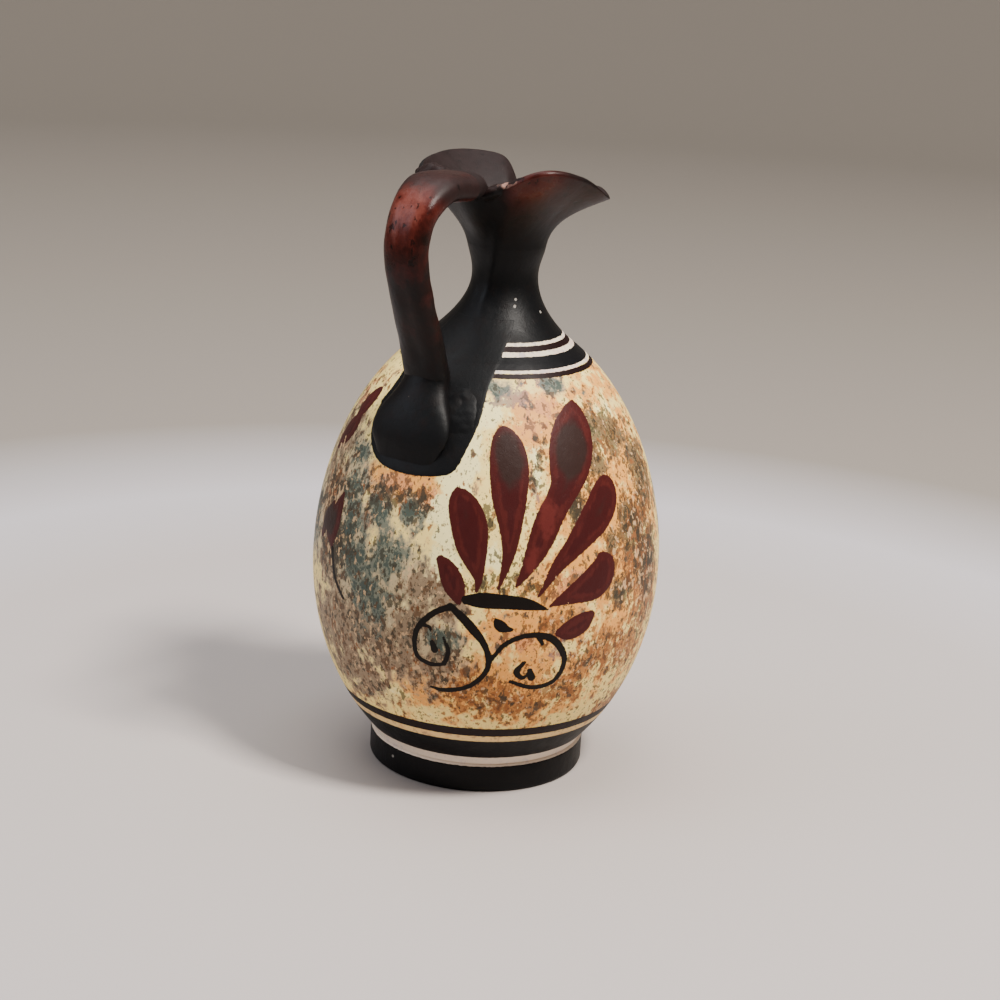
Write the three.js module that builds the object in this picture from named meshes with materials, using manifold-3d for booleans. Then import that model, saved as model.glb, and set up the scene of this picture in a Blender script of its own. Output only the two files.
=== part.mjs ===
// A small wine jug of the old Greek kind, in fired clay: a turned foot, an egg-shaped
// belly, a narrow neck, a wide mouth that is pinched towards the spout, and one high strap
// handle from the back of the rim to the shoulder. Every piece is thrown or pulled by itself
// and luted to the next one with slip. Millimetres, +Z up, the origin at the middle of the
// underside of the foot, the spout towards +X and the handle towards -X.
import * as THREE from 'three';
import { mergeVertices } from 'three/addons/utils/BufferGeometryUtils.js';
import Module from 'manifold-3d';

const wasm = await Module();
wasm.setup();

// Foot
const footRadius = 21.2;
const footHeight = 5.8;
const footEdge = 0.4;

// Belly, an egg with its blunt end up
const bellyRadius = 33.9;
const bellyLowerHeight = 35.2;
const bellyUpperHeight = 43.0;
const bellyBaseRadius = 20.2;
const shoulderRadius = 15.2;
const bellyWall = 3.0;
const floorThickness = 3.4;
const lowerFullness = 2.0;
const upperFullness = 1.95;

// Neck, which leans a little towards the spout
const neckLength = 18.8;
const neckWaistRadius = 6.3;
const neckWaistDrop = 5.8;
const neckTopRadius = 7.5;
const neckLean = 1.3;
const neckSeatWidth = 5.0;
const neckSweepIn = 4.1;
const neckSweepUp = 3.6;
const neckStraight = 7.4;
const boreRadius = 3.9;
const mouthThroatRadius = 5.0;

// Mouth: reach from the axis and height above the neck, at every 30 degrees from the front of
// the spout to the back of the rim, and how much higher the left side stands than the right
const rimReach = [18.8, 18.6, 19.5, 17.7, 16.5, 12.9, 12.4];
const rimRise = [9.1, 12.6, 12.9, 14.9, 15.0, 12.9, 11.1];
const rimLift = [0, 1.1, 2.2, 0, -1.3, 0.2, 0];
const lipThickness = 1.7;

// How the mouth flares from neck to rim: shares of the way out and up that its curve is drawn
// to, each at the spout and at the back, where it opens rounder
const flareLowOut = [0.01, 0.15];
const flareLowUp = [0.63, 0.36];
const flareHighOut = [0.53, 0.71];
const flareHighUp = [0.86, 0.52];

// Two pinches of finger and thumb part the spout from the sides of the mouth
const pinchAngle = THREE.MathUtils.degToRad(23.2);
const pinchSpread = THREE.MathUtils.degToRad(8.4);
const pinchDepth = 3.5;
const pinchDrop = 4.4;

// Handle, a strap pulled by hand
const handleReach = 29.6;
const handleBulgeDrop = 9.6;
const handleArchRise = 1.3;
const handleWidth = 8.9;
const handleThickness = 5.0;
const handleTopWidth = 9.8;
const handleTopThickness = 5.4;
const strapSquareness = 0.82;
const handleLandingDrop = 1.6;
const handleStandOff = 2.6;

// Tongue of clay that carries the handle over the rim
const tongueLength = 2.8;
const tongueInside = 4.6;
const tongueSpread = 11.5;
const tongueDip = 1.2;
const tongueTipThickness = 1.6;

// Pad that is thumbed out over the shoulder below the handle, and the slip beside it
const padLength = 15.5;
const padWidth = 16.4;
const padThickness = 5.0;
const padTipWidth = 9.6;
const padTipThickness = 1.6;
const slipWidth = 3.2;
const slipThickness = 1.5;
const slipLength = 9.0;
const slipDrop = 5.0;
const slipEndWidth = 1.2;
const slipEndThickness = 0.8;

// Clearance left where a curved piece is fitted to its neighbour, and how much more of it a
// faceted egg needs so that its flats are clear too
const lutingGap = 0.3;
const facetAllowance = 1.3;

// Heights that follow from the sizes above
const bellyMiddle = footHeight + bellyLowerHeight;
const shoulderHeight = bellyMiddle + bellyUpperHeight;
const mouthSeat = shoulderHeight + neckLength;
const waistHeight = mouthSeat - neckWaistDrop;
const handleLandingHeight = shoulderHeight - handleLandingDrop;
const rimBack = rimReach[rimReach.length - 1];
const handleTopHeight = mouthSeat + rimRise[rimRise.length - 1] + handleArchRise;

// Radius of an egg at a height: widest in the middle, and given radii at both ends
function eggRadius(height, widest, lowEnd, lowRadius, highEnd, highRadius) {
  const below = height < bellyMiddle;
  const span = below ? bellyMiddle - lowEnd : highEnd - bellyMiddle;
  const fullness = below ? lowerFullness : upperFullness;
  const endShare = (below ? lowRadius : highRadius) / widest;
  const distance = Math.abs(height - bellyMiddle) / span;
  const fall = (1 - endShare ** fullness) * distance ** fullness;
  return widest * Math.max(1 - fall, 0) ** (1 / fullness);
}

function bellyOuter(height) {
  const ends = [footHeight, bellyBaseRadius, shoulderHeight, shoulderRadius];
  return eggRadius(height, bellyRadius, ...ends);
}

// A number at any angle, from a list of numbers that go once round at even steps
function readRing(values, angle) {
  const count = values.length;
  const turns = angle / (2 * Math.PI);
  const place = (turns - Math.floor(turns)) * count;
  const index = Math.floor(place);
  const share = place - index;
  const [before, here, next, after] = [-1, 0, 1, 2].map((k) => values[(index + k + count) % count]);
  const slope = next - before;
  const bend = 2 * before - 5 * here + 4 * next - after;
  const twist = 3 * here - before - 3 * next + after;
  return 0.5 * (2 * here + slope * share + bend * share ** 2 + twist * share ** 3);
}

// Half a list of values, from front to back, made into a whole ring; the left side adds the lift
function wholeRing(half, lift) {
  const left = half.map((value, k) => value + lift[k]);
  const right = half.map((value, k) => value - lift[k]);
  return [...left, ...right.slice(1, -1).reverse()];
}

const noLift = rimLift.map(() => 0);
const reachRing = wholeRing(rimReach, noLift);
const riseRing = wholeRing(rimRise, rimLift);

function circlePoint(centreX, radius, angle, height) {
  return new THREE.Vector3(centreX + radius * Math.cos(angle), radius * Math.sin(angle), height);
}

// Points along a cubic curve, both ends included
function curvePoints(a, b, c, d, steps) {
  return new THREE.CubicBezierCurve3(a, b, c, d).getPoints(steps);
}

// Mesh helpers. A skin joins loops of points; it closes on itself or ends in two caps
function makeGeometry(points, faces) {
  const geometry = new THREE.BufferGeometry();
  const flat = points.flatMap((p) => [p.x, p.y, p.z]);
  geometry.setAttribute('position', new THREE.Float32BufferAttribute(flat, 3));
  geometry.setIndex(faces);
  return geometry;
}

function signedVolume(points, faces) {
  let total = 0;
  const cross = new THREE.Vector3();
  for (let k = 0; k < faces.length; k += 3) {
    const [a, b, c] = [points[faces[k]], points[faces[k + 1]], points[faces[k + 2]]];
    total += cross.crossVectors(a, b).dot(c);
  }
  return total;
}

function skin(loops, endless) {
  const size = loops[0].length;
  const points = loops.flat();
  const faces = [];
  const bands = endless ? loops.length : loops.length - 1;
  for (let row = 0; row < bands; row += 1) {
    const start = row * size;
    const next = ((row + 1) % loops.length) * size;
    for (let k = 0; k < size; k += 1) {
      const side = (k + 1) % size;
      faces.push(start + k, next + k, next + side, start + k, next + side, start + side);
    }
  }
  if (!endless) {
    [[0, 1], [loops.length - 1, -1]].forEach(([row, turn]) => {
      const middle = points.length;
      const sum = loops[row].reduce((total, p) => total.add(p), new THREE.Vector3());
      points.push(sum.divideScalar(size));
      for (let k = 0; k < size; k += 1) {
        const pair = [row * size + k, row * size + ((k + 1) % size)];
        faces.push(middle, ...(turn > 0 ? pair : pair.reverse()));
      }
    });
  }
  const outward = signedVolume(points, faces) > 0 ? faces : faces.reverse();
  return makeGeometry(points, outward);
}

// Boolean helpers
function toSolid(geometry) {
  const bare = geometry.clone();
  bare.deleteAttribute('normal');
  bare.deleteAttribute('uv');
  const merged = mergeVertices(bare, 1e-5);
  const vertProperties = new Float32Array(merged.attributes.position.array);
  const triVerts = new Uint32Array(merged.index.array);
  return new wasm.Manifold(new wasm.Mesh({ numProp: 3, vertProperties, triVerts }));
}

function fromSolid(solid) {
  const mesh = solid.getMesh();
  const geometry = new THREE.BufferGeometry();
  geometry.setAttribute('position', new THREE.BufferAttribute(mesh.vertProperties, 3));
  geometry.setIndex(new THREE.BufferAttribute(mesh.triVerts, 1));
  return geometry;
}

function cutBy(geometry, ...others) {
  const left = others.reduce((solid, other) => solid.subtract(toSolid(other)), toSolid(geometry));
  return fromSolid(left);
}

// A profile of radius and height turned round the Z axis
function turned(profile, steps) {
  const points = profile.map(([radius, height]) => new THREE.Vector2(radius, height));
  return new THREE.LatheGeometry(points, steps).rotateX(Math.PI / 2);
}

// Foot: a solid turned disc with softened edges
function footDisc() {
  const profile = [
    [0, 0],
    [footRadius - footEdge, 0],
    [footRadius, footEdge],
    [footRadius, footHeight - footEdge],
    [footRadius - footEdge, footHeight],
    [0, footHeight],
  ];
  return turned(profile, 56);
}

// Belly: an open egg-shaped shell with a floor
const floorHeight = footHeight + floorThickness;
const openingRadius = shoulderRadius - neckSeatWidth;

function bellyInner(height) {
  const widest = bellyRadius - bellyWall;
  const base = bellyBaseRadius - bellyWall;
  return eggRadius(height, widest, floorHeight, base, shoulderHeight, openingRadius);
}

function heightsBetween(low, high, steps) {
  return Array.from({ length: steps + 1 }, (_, k) => low + (high - low) * (k / steps));
}

function bellyShell() {
  const outside = heightsBetween(footHeight, shoulderHeight, 20).map((z) => [bellyOuter(z), z]);
  const inside = heightsBetween(shoulderHeight, floorHeight, 12).map((z) => [bellyInner(z), z]);
  return turned([[0, footHeight], ...outside, ...inside, [0, floorHeight]], 56);
}

// The belly as one solid egg, a little larger, to fit other pieces to it
function bellyGrown() {
  const low = footHeight - lutingGap;
  const high = shoulderHeight + lutingGap;
  const heights = heightsBetween(footHeight, shoulderHeight, 20);
  const outside = heights.map((z) => [bellyOuter(z) + lutingGap * facetAllowance, z]);
  const foot = [[0, low], [bellyBaseRadius, low]];
  const top = [[shoulderRadius, high], [0, high]];
  return turned([...foot, ...outside, ...top], 56);
}

// Neck: hollow, wide where it is luted to the shoulder, narrowest below the mouth
function neckTube() {
  const upperStart = THREE.MathUtils.lerp(waistHeight, mouthSeat, 0.4);
  const upperEnd = THREE.MathUtils.lerp(waistHeight, mouthSeat, 0.65);
  const loops = [];
  const aroundSteps = 36;
  for (let k = 0; k < aroundSteps; k += 1) {
    const angle = (2 * Math.PI * k) / aroundSteps;
    const at = (lean, radius, height) => circlePoint(lean, radius, angle, height);
    const outerLow = curvePoints(
      at(0, shoulderRadius, shoulderHeight),
      at(0, shoulderRadius - neckSweepIn, shoulderHeight + neckSweepUp),
      at(neckLean, neckWaistRadius, waistHeight - neckStraight),
      at(neckLean, neckWaistRadius, waistHeight),
      8,
    );
    const outerHigh = curvePoints(
      at(neckLean, neckWaistRadius, waistHeight),
      at(neckLean, neckWaistRadius, upperStart),
      at(neckLean, neckTopRadius * 0.92, upperEnd),
      at(neckLean, neckTopRadius, mouthSeat),
      3,
    );
    const innerHigh = curvePoints(
      at(neckLean, mouthThroatRadius, mouthSeat),
      at(neckLean, mouthThroatRadius * 0.92, upperEnd),
      at(neckLean, boreRadius, upperStart),
      at(neckLean, boreRadius, waistHeight),
      3,
    );
    const innerLow = curvePoints(
      at(neckLean, boreRadius, waistHeight),
      at(neckLean, boreRadius, waistHeight - neckStraight),
      at(0, openingRadius - neckSweepIn, shoulderHeight + neckSweepUp),
      at(0, openingRadius, shoulderHeight),
      6,
    );
    loops.push([...outerLow, ...outerHigh.slice(1), ...innerHigh, ...innerLow.slice(1)]);
  }
  return skin(loops, true);
}

// Mouth: a flaring funnel whose rim rises at the sides and drops towards the spout
function flare(base, rim, angle, steps) {
  const towardsBack = (1 - Math.cos(angle)) / 2;
  const onTheWay = (outPair, upPair) => {
    const out = THREE.MathUtils.lerp(...outPair, towardsBack);
    const up = THREE.MathUtils.lerp(...upPair, towardsBack);
    const point = new THREE.Vector3().lerpVectors(base, rim, out);
    return point.setZ(THREE.MathUtils.lerp(base.z, rim.z, up));
  };
  const low = onTheWay(flareLowOut, flareLowUp);
  const high = onTheWay(flareHighOut, flareHighUp);
  return curvePoints(base, low, high, rim, steps);
}

function rimPoint(angle, inward, drop) {
  const fromFront = Math.abs(Math.atan2(Math.sin(angle), Math.cos(angle)));
  const pinch = Math.exp(-(((fromFront - pinchAngle) / pinchSpread) ** 2));
  const reach = readRing(reachRing, angle) - pinchDepth * pinch - inward;
  const height = mouthSeat + readRing(riseRing, angle) - pinchDrop * pinch - drop;
  return circlePoint(0, reach, angle, height);
}

// The funnel can be grown on all its sides by a clearance, to fit the handle to it
function mouthFunnel(grow) {
  const half = lipThickness / 2;
  const loops = [];
  const aroundSteps = 64;
  for (let k = 0; k < aroundSteps; k += 1) {
    const angle = (2 * Math.PI * k) / aroundSteps;
    const outerBase = circlePoint(neckLean, neckTopRadius + grow, angle, mouthSeat);
    const innerBase = circlePoint(neckLean, mouthThroatRadius - grow, angle, mouthSeat);
    const outside = flare(outerBase, rimPoint(angle, half, lipThickness + grow), angle, 7);
    const lip = [-0.25, 0, 0.25].map((turn) => {
      const inward = half - (half + grow) * Math.cos(turn * Math.PI);
      return rimPoint(angle, inward, half - (half + grow) * Math.sin(turn * Math.PI));
    });
    const inside = flare(innerBase, rimPoint(angle, half, -grow), angle, 6).reverse();
    loops.push([...outside, ...lip, ...inside]);
  }
  return skin(loops, true);
}

// Handle: an oval section carried along a route in the plane of the spout
function ovalLoop(centre, along, width, thickness, sides) {
  const across = new THREE.Vector3(0, 1, 0);
  const outward = new THREE.Vector3().crossVectors(across, along).normalize();
  return Array.from({ length: sides }, (_, k) => {
    const turn = (2 * Math.PI * k) / sides;
    const c = Math.sign(Math.cos(turn)) * Math.abs(Math.cos(turn)) ** strapSquareness;
    const s = Math.sign(Math.sin(turn)) * Math.abs(Math.sin(turn)) ** strapSquareness;
    const offset = across.clone().multiplyScalar((width / 2) * c);
    return offset.addScaledVector(outward, (thickness / 2) * s).add(centre);
  });
}

// Loops along a route; each size is a list of values spread evenly from end to end
function readAlong(values, share) {
  const place = Math.min(share * (values.length - 1), values.length - 1 - 1e-9);
  const index = Math.floor(place);
  return THREE.MathUtils.lerp(values[index], values[index + 1], place - index);
}

function sweep(route, widths, thicknesses, steps, sides, firstAlong) {
  const loops = [];
  for (let k = 0; k <= steps; k += 1) {
    const share = k / steps;
    const width = readAlong(widths, share);
    const thickness = readAlong(thicknesses, share);
    const along = k === 0 && firstAlong ? firstAlong : route.getTangent(share);
    loops.push(ovalLoop(route.getPoint(share), along, width, thickness, sides));
  }
  return skin(loops, false);
}

const handleTop = new THREE.Vector3(-(rimBack + tongueLength), 0, handleTopHeight);
const landingX = -(bellyOuter(handleLandingHeight) + handleStandOff + handleThickness / 2);
const handleLanding = new THREE.Vector3(landingX, 0, handleLandingHeight);

// A point between the top, the bulge and the landing: how far out, and how far down
function onHandle(end, outShare, downShare) {
  const bulgeHeight = handleTop.z - handleBulgeDrop;
  const x = THREE.MathUtils.lerp(end.x, -handleReach, outShare);
  return new THREE.Vector3(x, 0, THREE.MathUtils.lerp(end.z, bulgeHeight, downShare));
}

const handleRoute = new THREE.CatmullRomCurve3([
  handleTop,
  onHandle(handleTop, 0.5, 0.0),
  onHandle(handleTop, 0.87, 0.36),
  onHandle(handleTop, 1.0, 1.0),
  onHandle(handleLanding, 0.72, 0.6),
  onHandle(handleLanding, 0.27, 0.25),
  handleLanding,
], false, 'centripetal');

function strapHandle() {
  const widths = [handleTopWidth, handleTopWidth, handleWidth, handleWidth, handleWidth];
  const thicknesses = [handleTopThickness, handleTopThickness, handleThickness, handleThickness];
  return sweep(handleRoute, widths, thicknesses, 26, 14);
}

// Tongue: carries the strap over the back of the rim and spreads inside it
function handleTongue() {
  const start = handleTop;
  const ahead = handleRoute.getTangent(0).negate();
  const rimTop = mouthSeat + rimRise[rimRise.length - 1];
  const route = new THREE.CubicBezierCurve3(
    start,
    start.clone().addScaledVector(ahead, tongueLength * 0.6),
    new THREE.Vector3(-rimBack + tongueInside * 0.3, 0, rimTop + handleArchRise),
    new THREE.Vector3(-rimBack + tongueInside, 0, rimTop - tongueDip),
  );
  const widths = [handleTopWidth, handleTopWidth * 1.15, tongueSpread, tongueSpread, handleWidth];
  const thick = [1, 1, 0.9, 0.65].map((share) => share * handleTopThickness);
  const thicknesses = [...thick, tongueTipThickness];
  return cutBy(sweep(route, widths, thicknesses, 9, 16), mouthFunnel(lutingGap));
}

// Pad: widens from the end of the strap and thins out down the belly
const landingAlong = handleRoute.getTangent(1);
const padShares = [0, 0.08, 0.22, 0.45, 0.72, 1.0];
const padStandOffs = [1.9, 1.0, 0.5, -0.3];
const padPoints = [
  handleLanding,
  handleLanding.clone().addScaledVector(landingAlong, padLength * padShares[1]),
  ...padStandOffs.map((standOff, k) => {
    const height = handleLandingHeight - padLength * padShares[k + 2];
    return new THREE.Vector3(-(bellyOuter(height) + standOff), 0, height);
  }),
];
const padRoute = new THREE.CatmullRomCurve3(padPoints, false, 'centripetal');

// As wide as the strap at first, then spread by the thumb, and blunt at the lower end
function padWidthAt(share) {
  const spread = THREE.MathUtils.smoothstep(share, 0.1, 0.72);
  const closing = THREE.MathUtils.smoothstep(share, 0.72, 1.0);
  const wide = THREE.MathUtils.lerp(handleWidth, padWidth, spread);
  return THREE.MathUtils.lerp(wide, padTipWidth, closing);
}

function padSweep(grow) {
  const bodyThickness = [handleThickness, padThickness, padThickness, padThickness];
  const widths = padShares.map((share) => padWidthAt(share));
  const thicknesses = [...bodyThickness, padThickness * 0.8, padTipThickness];
  const wider = widths.map((width) => width + 2 * grow);
  const thicker = thicknesses.map((thickness) => thickness + 2 * grow);
  return sweep(padRoute, wider, thicker, 12, 16, landingAlong);
}

// Slip: a low ridge squeezed out along each flank of the pad
function flankSlip(side) {
  const middleHeight = handleLandingHeight - slipDrop;
  const points = [-0.5, 0, 0.5].map((share) => {
    const height = middleHeight - slipLength * share;
    const reach = bellyOuter(height);
    const downPad = (handleLandingHeight - height) / padLength;
    const sideways = (padWidthAt(Math.max(downPad, 0)) + slipWidth) / 2;
    return new THREE.Vector3(-Math.sqrt(reach ** 2 - sideways ** 2), side * sideways, height);
  });
  const route = new THREE.CatmullRomCurve3(points);
  const widths = [slipEndWidth, slipWidth, slipWidth, slipEndWidth];
  const middleThickness = slipThickness * 2;
  const thicknesses = [slipEndThickness, middleThickness, middleThickness, slipEndThickness];
  return cutBy(sweep(route, widths, thicknesses, 8, 10), bellyGrown(), padSweep(lutingGap));
}

// Colours, before any wear: black slip, red-brown gloss and pale clay
const blackSlip = { color: 0x1c1c20, roughness: 0.6, metalness: 0 };
const redGloss = { color: 0x5a2420, roughness: 0.35, metalness: 0 };
const paleClay = { color: 0xe6d3a8, roughness: 0.5, metalness: 0 };

const group = new THREE.Group();

function add(name, geometry, look) {
  const mesh = new THREE.Mesh(geometry, new THREE.MeshStandardMaterial(look));
  mesh.name = name;
  group.add(mesh);
}

add('foot_disc', footDisc(), blackSlip);
add('belly_shell', bellyShell(), paleClay);
add('neck_tube', neckTube(), blackSlip);
add('mouth_funnel', mouthFunnel(0), redGloss);
add('strap_handle', strapHandle(), redGloss);
add('handle_tongue', handleTongue(), redGloss);
add('root_pad', cutBy(padSweep(0), bellyGrown()), blackSlip);
add('root_slip_right', flankSlip(-1), blackSlip);
add('root_slip_left', flankSlip(1), blackSlip);

export default group;
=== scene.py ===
# A small wine jug of the old Greek kind, thrown, pulled and painted by hand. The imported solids
# give every place and size; here each piece gets its fine surface, its slip and its paint.
import math
import bpy
import numpy as np
from mathutils import Matrix, Vector


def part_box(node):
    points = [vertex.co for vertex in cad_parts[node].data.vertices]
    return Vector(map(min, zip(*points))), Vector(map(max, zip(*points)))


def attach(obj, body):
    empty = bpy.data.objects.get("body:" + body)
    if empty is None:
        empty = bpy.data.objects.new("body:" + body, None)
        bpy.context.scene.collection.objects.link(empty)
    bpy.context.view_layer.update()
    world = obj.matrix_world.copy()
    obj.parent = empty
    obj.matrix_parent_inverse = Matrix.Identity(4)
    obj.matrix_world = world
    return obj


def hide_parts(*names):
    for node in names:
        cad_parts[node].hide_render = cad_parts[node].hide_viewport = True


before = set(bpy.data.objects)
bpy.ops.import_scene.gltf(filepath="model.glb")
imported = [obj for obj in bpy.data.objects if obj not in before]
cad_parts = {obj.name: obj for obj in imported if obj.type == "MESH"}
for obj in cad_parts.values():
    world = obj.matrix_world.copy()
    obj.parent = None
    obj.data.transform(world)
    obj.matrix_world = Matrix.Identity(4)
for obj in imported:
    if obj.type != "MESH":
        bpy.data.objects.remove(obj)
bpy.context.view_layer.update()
mm = 0.001


def cornersOf(node):
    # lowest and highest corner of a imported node, in millimetres
    low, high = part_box(node)
    return np.array(low) / mm, np.array(high) / mm


footHigh = cornersOf("foot_disc")[1]
bellyLow, bellyHigh = cornersOf("belly_shell")
neckHigh = cornersOf("neck_tube")[1]


# Helpers for surfaces, all in millimetres

def smoothstep(value, low, high):
    # 0 before low, 1 past high and the s-shaped 3 s^2 - 2 s^3 between them
    share = np.clip((value - low) / (high - low), 0, 1)
    return share * share * (3 - 2 * share)


def bezier(a, b, c, d, t):
    # cubic curve: the four points weighted by the Bernstein terms of t
    return a * (1 - t) ** 3 + 3 * b * t * (1 - t) ** 2 + 3 * c * t ** 2 * (1 - t) + d * t ** 3


def throughPoints(p, q, r, s, t):
    # Catmull-Rom: the cubic from q to r whose ends run along the chords p to r and q to s
    return 0.5 * (2 * q + (r - p) * t + (2 * p - 5 * q + 4 * r - s) * t ** 2
                  + (3 * q - p - 3 * r + s) * t ** 3)


def carriedOn(points):
    # the points with one more at each end, as far on as the end span
    return np.vstack([2 * points[0] - points[1], points, 2 * points[-1] - points[-2]])


def unit(vectors):
    # every vector over its own length
    return vectors / np.maximum(np.linalg.norm(vectors, axis=-1, keepdims=True), 1e-6)


def turnFrom(degrees, middle=0.0):
    # the way round from a middle, from -180 to 180 degrees
    return (degrees - middle + 180) % 360 - 180


def swell(points, wave, seed):
    # the sum of twelve sine waves of one length in seeded directions, which seldom passes 5,
    # brought to about -1 to 1
    draw = np.random.default_rng(seed)
    ways = unit(draw.normal(size=(12, 3)))
    phases = draw.uniform(0, 2 * np.pi, 12)
    total = np.sin(points @ ways.T * (2 * np.pi / wave) + phases).sum(-1)
    return np.clip(total / 5, -1, 1)


def handMade(points, share=0.004, wave=38.0):
    # draws every point towards the axis by up to a share, unevenly, as thrown clay is
    near = share * (1 + swell(points, wave, 3)) / 2
    return points * np.stack([1 - near, 1 - near, np.ones_like(near)], -1)


def spot(points, centre, size):
    # 1 at a centre, falling off as a bell curve
    return np.exp(-(((points - np.array(centre)) / size) ** 2).sum(-1))


def onRing(radius, angles, height, centreX=0.0):
    # points[row, column] round an upright axis at centreX, by each row's or point's radius
    # and height
    radius, height = (np.asarray(row, float).reshape(len(row), -1) for row in (radius, height))
    x = centreX + radius * np.cos(angles)
    y = radius * np.sin(angles)
    return np.stack(np.broadcast_arrays(x, y, height), -1)


def withPoles(numbers, caps):
    # a grid's numbers as one table, and after them the mean of each capped row
    rows, columns = numbers.shape[:2]
    poles = [numbers[row].reshape(columns, -1).mean(0)[None] for row in caps]
    return np.concatenate([numbers.reshape(rows * columns, -1), *poles])


def makePiece(name, points, values=None, caps=(0, -1), closeRows=False):
    # points[row, column] is a surface whose columns go once round. Its rows close on themselves,
    # or the first row, 0, and the last, -1, close in a pole where caps names them. values are
    # numbers kept on every point for the materials
    caps = () if closeRows else caps
    rows, columns = points.shape[:2]
    index = np.arange(rows * columns).reshape(rows, columns)
    here = index if closeRows else index[:-1]
    above = np.roll(index, -1, 0) if closeRows else index[1:]
    quads = np.stack([here, np.roll(here, -1, 1), np.roll(above, -1, 1), above], -1).reshape(-1, 4)
    faces = quads.tolist()
    for k, row in enumerate(caps):
        pole = np.full(columns, rows * columns + k)
        ring, ahead = index[row], np.roll(index[row], -1)
        corners = [ring, ahead, pole] if row else [ahead, ring, pole]
        faces += np.stack(corners, -1).tolist()
    allPoints = withPoles(points, caps)
    # the signed volume under the quads is below zero where the surface is inside out
    p, q, r, s = (allPoints[quads[:, k]] for k in range(4))
    volume = (np.cross(p, q) * r).sum() + (np.cross(p, r) * s).sum()
    if volume < 0:
        faces = [face[::-1] for face in faces]
    mesh = bpy.data.meshes.new(name)
    mesh.from_pydata(allPoints * mm, [], faces)
    mesh.polygons.foreach_set("use_smooth", np.ones(len(faces), bool))
    mesh.set_sharp_from_angle(angle=math.radians(55))
    for label, numbers in (values or {}).items():
        layer = mesh.attributes.new(label, "FLOAT", "POINT")
        layer.data.foreach_set("value", withPoles(numbers, caps).astype(np.float32).ravel())
    mesh.validate()
    piece = bpy.data.objects.new(name, mesh)
    bpy.context.scene.collection.objects.link(piece)
    return piece


def dress(piece, node, material):
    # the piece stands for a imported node, rides on the one body and has its material's slot
    piece.data.materials.append(material)
    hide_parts(node)
    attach(piece, "root")


# Helpers for materials

def linear(code):
    # an sRGB hex value such as 0x5a2420, made linear, with full alpha
    parts = np.array([code >> 16 & 255, code >> 8 & 255, code & 255]) / 255
    low = parts / 12.92
    high = ((parts + 0.055) / 1.055) ** 2.4
    return (*np.where(parts <= 0.04045, low, high).tolist(), 1.0)


def addNode(tree, kind, inputs=None, out=0, stops=None, **settings):
    # one node with its settings, and a value or a link for each input; gives one output back
    node = tree.nodes.new("ShaderNode" + kind)
    for key, value in settings.items():
        setattr(node, key, value)
    for key, value in (inputs or {}).items():
        if isinstance(value, bpy.types.NodeSocket):
            tree.links.new(value, node.inputs[key])
        else:
            node.inputs[key].default_value = value
    for k, (place, colour) in enumerate(stops or []):
        ramp = node.color_ramp.elements
        stop = ramp[k] if k < len(ramp) else ramp.new(place)
        stop.position = place
        stop.color = colour
    return node.outputs[out] if len(node.outputs) else None


varnishSheen = 0.14


def newMaterial(name):
    material = bpy.data.materials.new(name)
    material.use_nodes = True
    material.node_tree.nodes.clear()
    return material, material.node_tree


def finishMaterial(tree, colour, height, roughness):
    # height is in millimetres, so the bump's distance is one millimetre; every piece has the
    # same varnish, so that the joints between pieces don't show
    relief = addNode(tree, "Bump", {"Height": height, "Strength": 1.0, "Distance": mm})
    inputs = {"Base Color": colour, "Roughness": roughness, "Specular IOR Level": varnishSheen,
              "Normal": relief}
    addNode(tree, "OutputMaterial", {"Surface": addNode(tree, "BsdfPrincipled", inputs)})


# Camera: a phone held a little above the jug, behind its handle and to its right

camera = dict(azimuth=-145.0, elevation=17.42, roll=3.144, distance=438.75, aimHeight=48.75,
              lens=81.0, sensor=36.0, shiftX=0.01227, shiftY=0.01798, nearest=10.0)


def makeCamera():
    # stands back from the aim along its azimuth and elevation, rolled about that line, and
    # gives its own right, up and back
    turn = math.radians(camera["azimuth"])
    rise = math.radians(camera["elevation"])
    tilt = math.radians(camera["roll"])
    back = Vector((math.cos(turn) * math.cos(rise), math.sin(turn) * math.cos(rise), math.sin(rise)))
    level = Vector((-math.sin(turn), math.cos(turn), 0))
    upright = back.cross(level)
    right = level * math.cos(tilt) + upright * math.sin(tilt)
    up = upright * math.cos(tilt) - level * math.sin(tilt)
    data = bpy.data.cameras.new("camera")
    data.lens = camera["lens"]
    data.sensor_width = camera["sensor"]
    data.shift_x = camera["shiftX"]
    data.shift_y = camera["shiftY"]
    data.clip_start = camera["nearest"] * mm
    eye = bpy.data.objects.new("camera", data)
    turned = Matrix((right, up, back)).transposed().to_4x4()
    place = Vector((0, 0, camera["aimHeight"])) + back * camera["distance"]
    eye.matrix_world = Matrix.Translation(place * mm) @ turned
    bpy.context.scene.collection.objects.link(eye)
    bpy.context.scene.camera = eye
    return right, up, back


right, up, back = makeCamera()
print("camera placed")


# Floor and light: a wide round sweep of pale paper under large soft lamps

# in metres; the paper's tint goes by distance from the jug: a pool of light that dims behind it
stage = dict(inner=(0.02, 0.3), flat=0.9, bend=0.4, wall=1.2, reach=0.5, roughness=0.8,
             tints=[(0.0, 0xb2a9a4), (0.13, 0xb4acaa), (0.18, 0xbdb8bc), (0.25, 0x8c847c), (0.5, 0x8a8279)])
lamps = [
    dict(name="key", way=(0.5, 0.8, 0.62), distance=0.9, size=0.16, power=17.0, tint=0xfff8f0),
    dict(name="window", way=(-0.85, 0.45, 0.3), distance=0.9, size=0.5, power=2.8, tint=0xe8f0ff),
    dict(name="ceiling", way=(-0.1, 1.0, 0.2), distance=1.0, size=0.9, power=9.5, tint=0xffffff),
]
lampAim = Vector((0, 0, 0.06))
sky = dict(tint=0xdedad6, strength=0.35)


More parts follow.
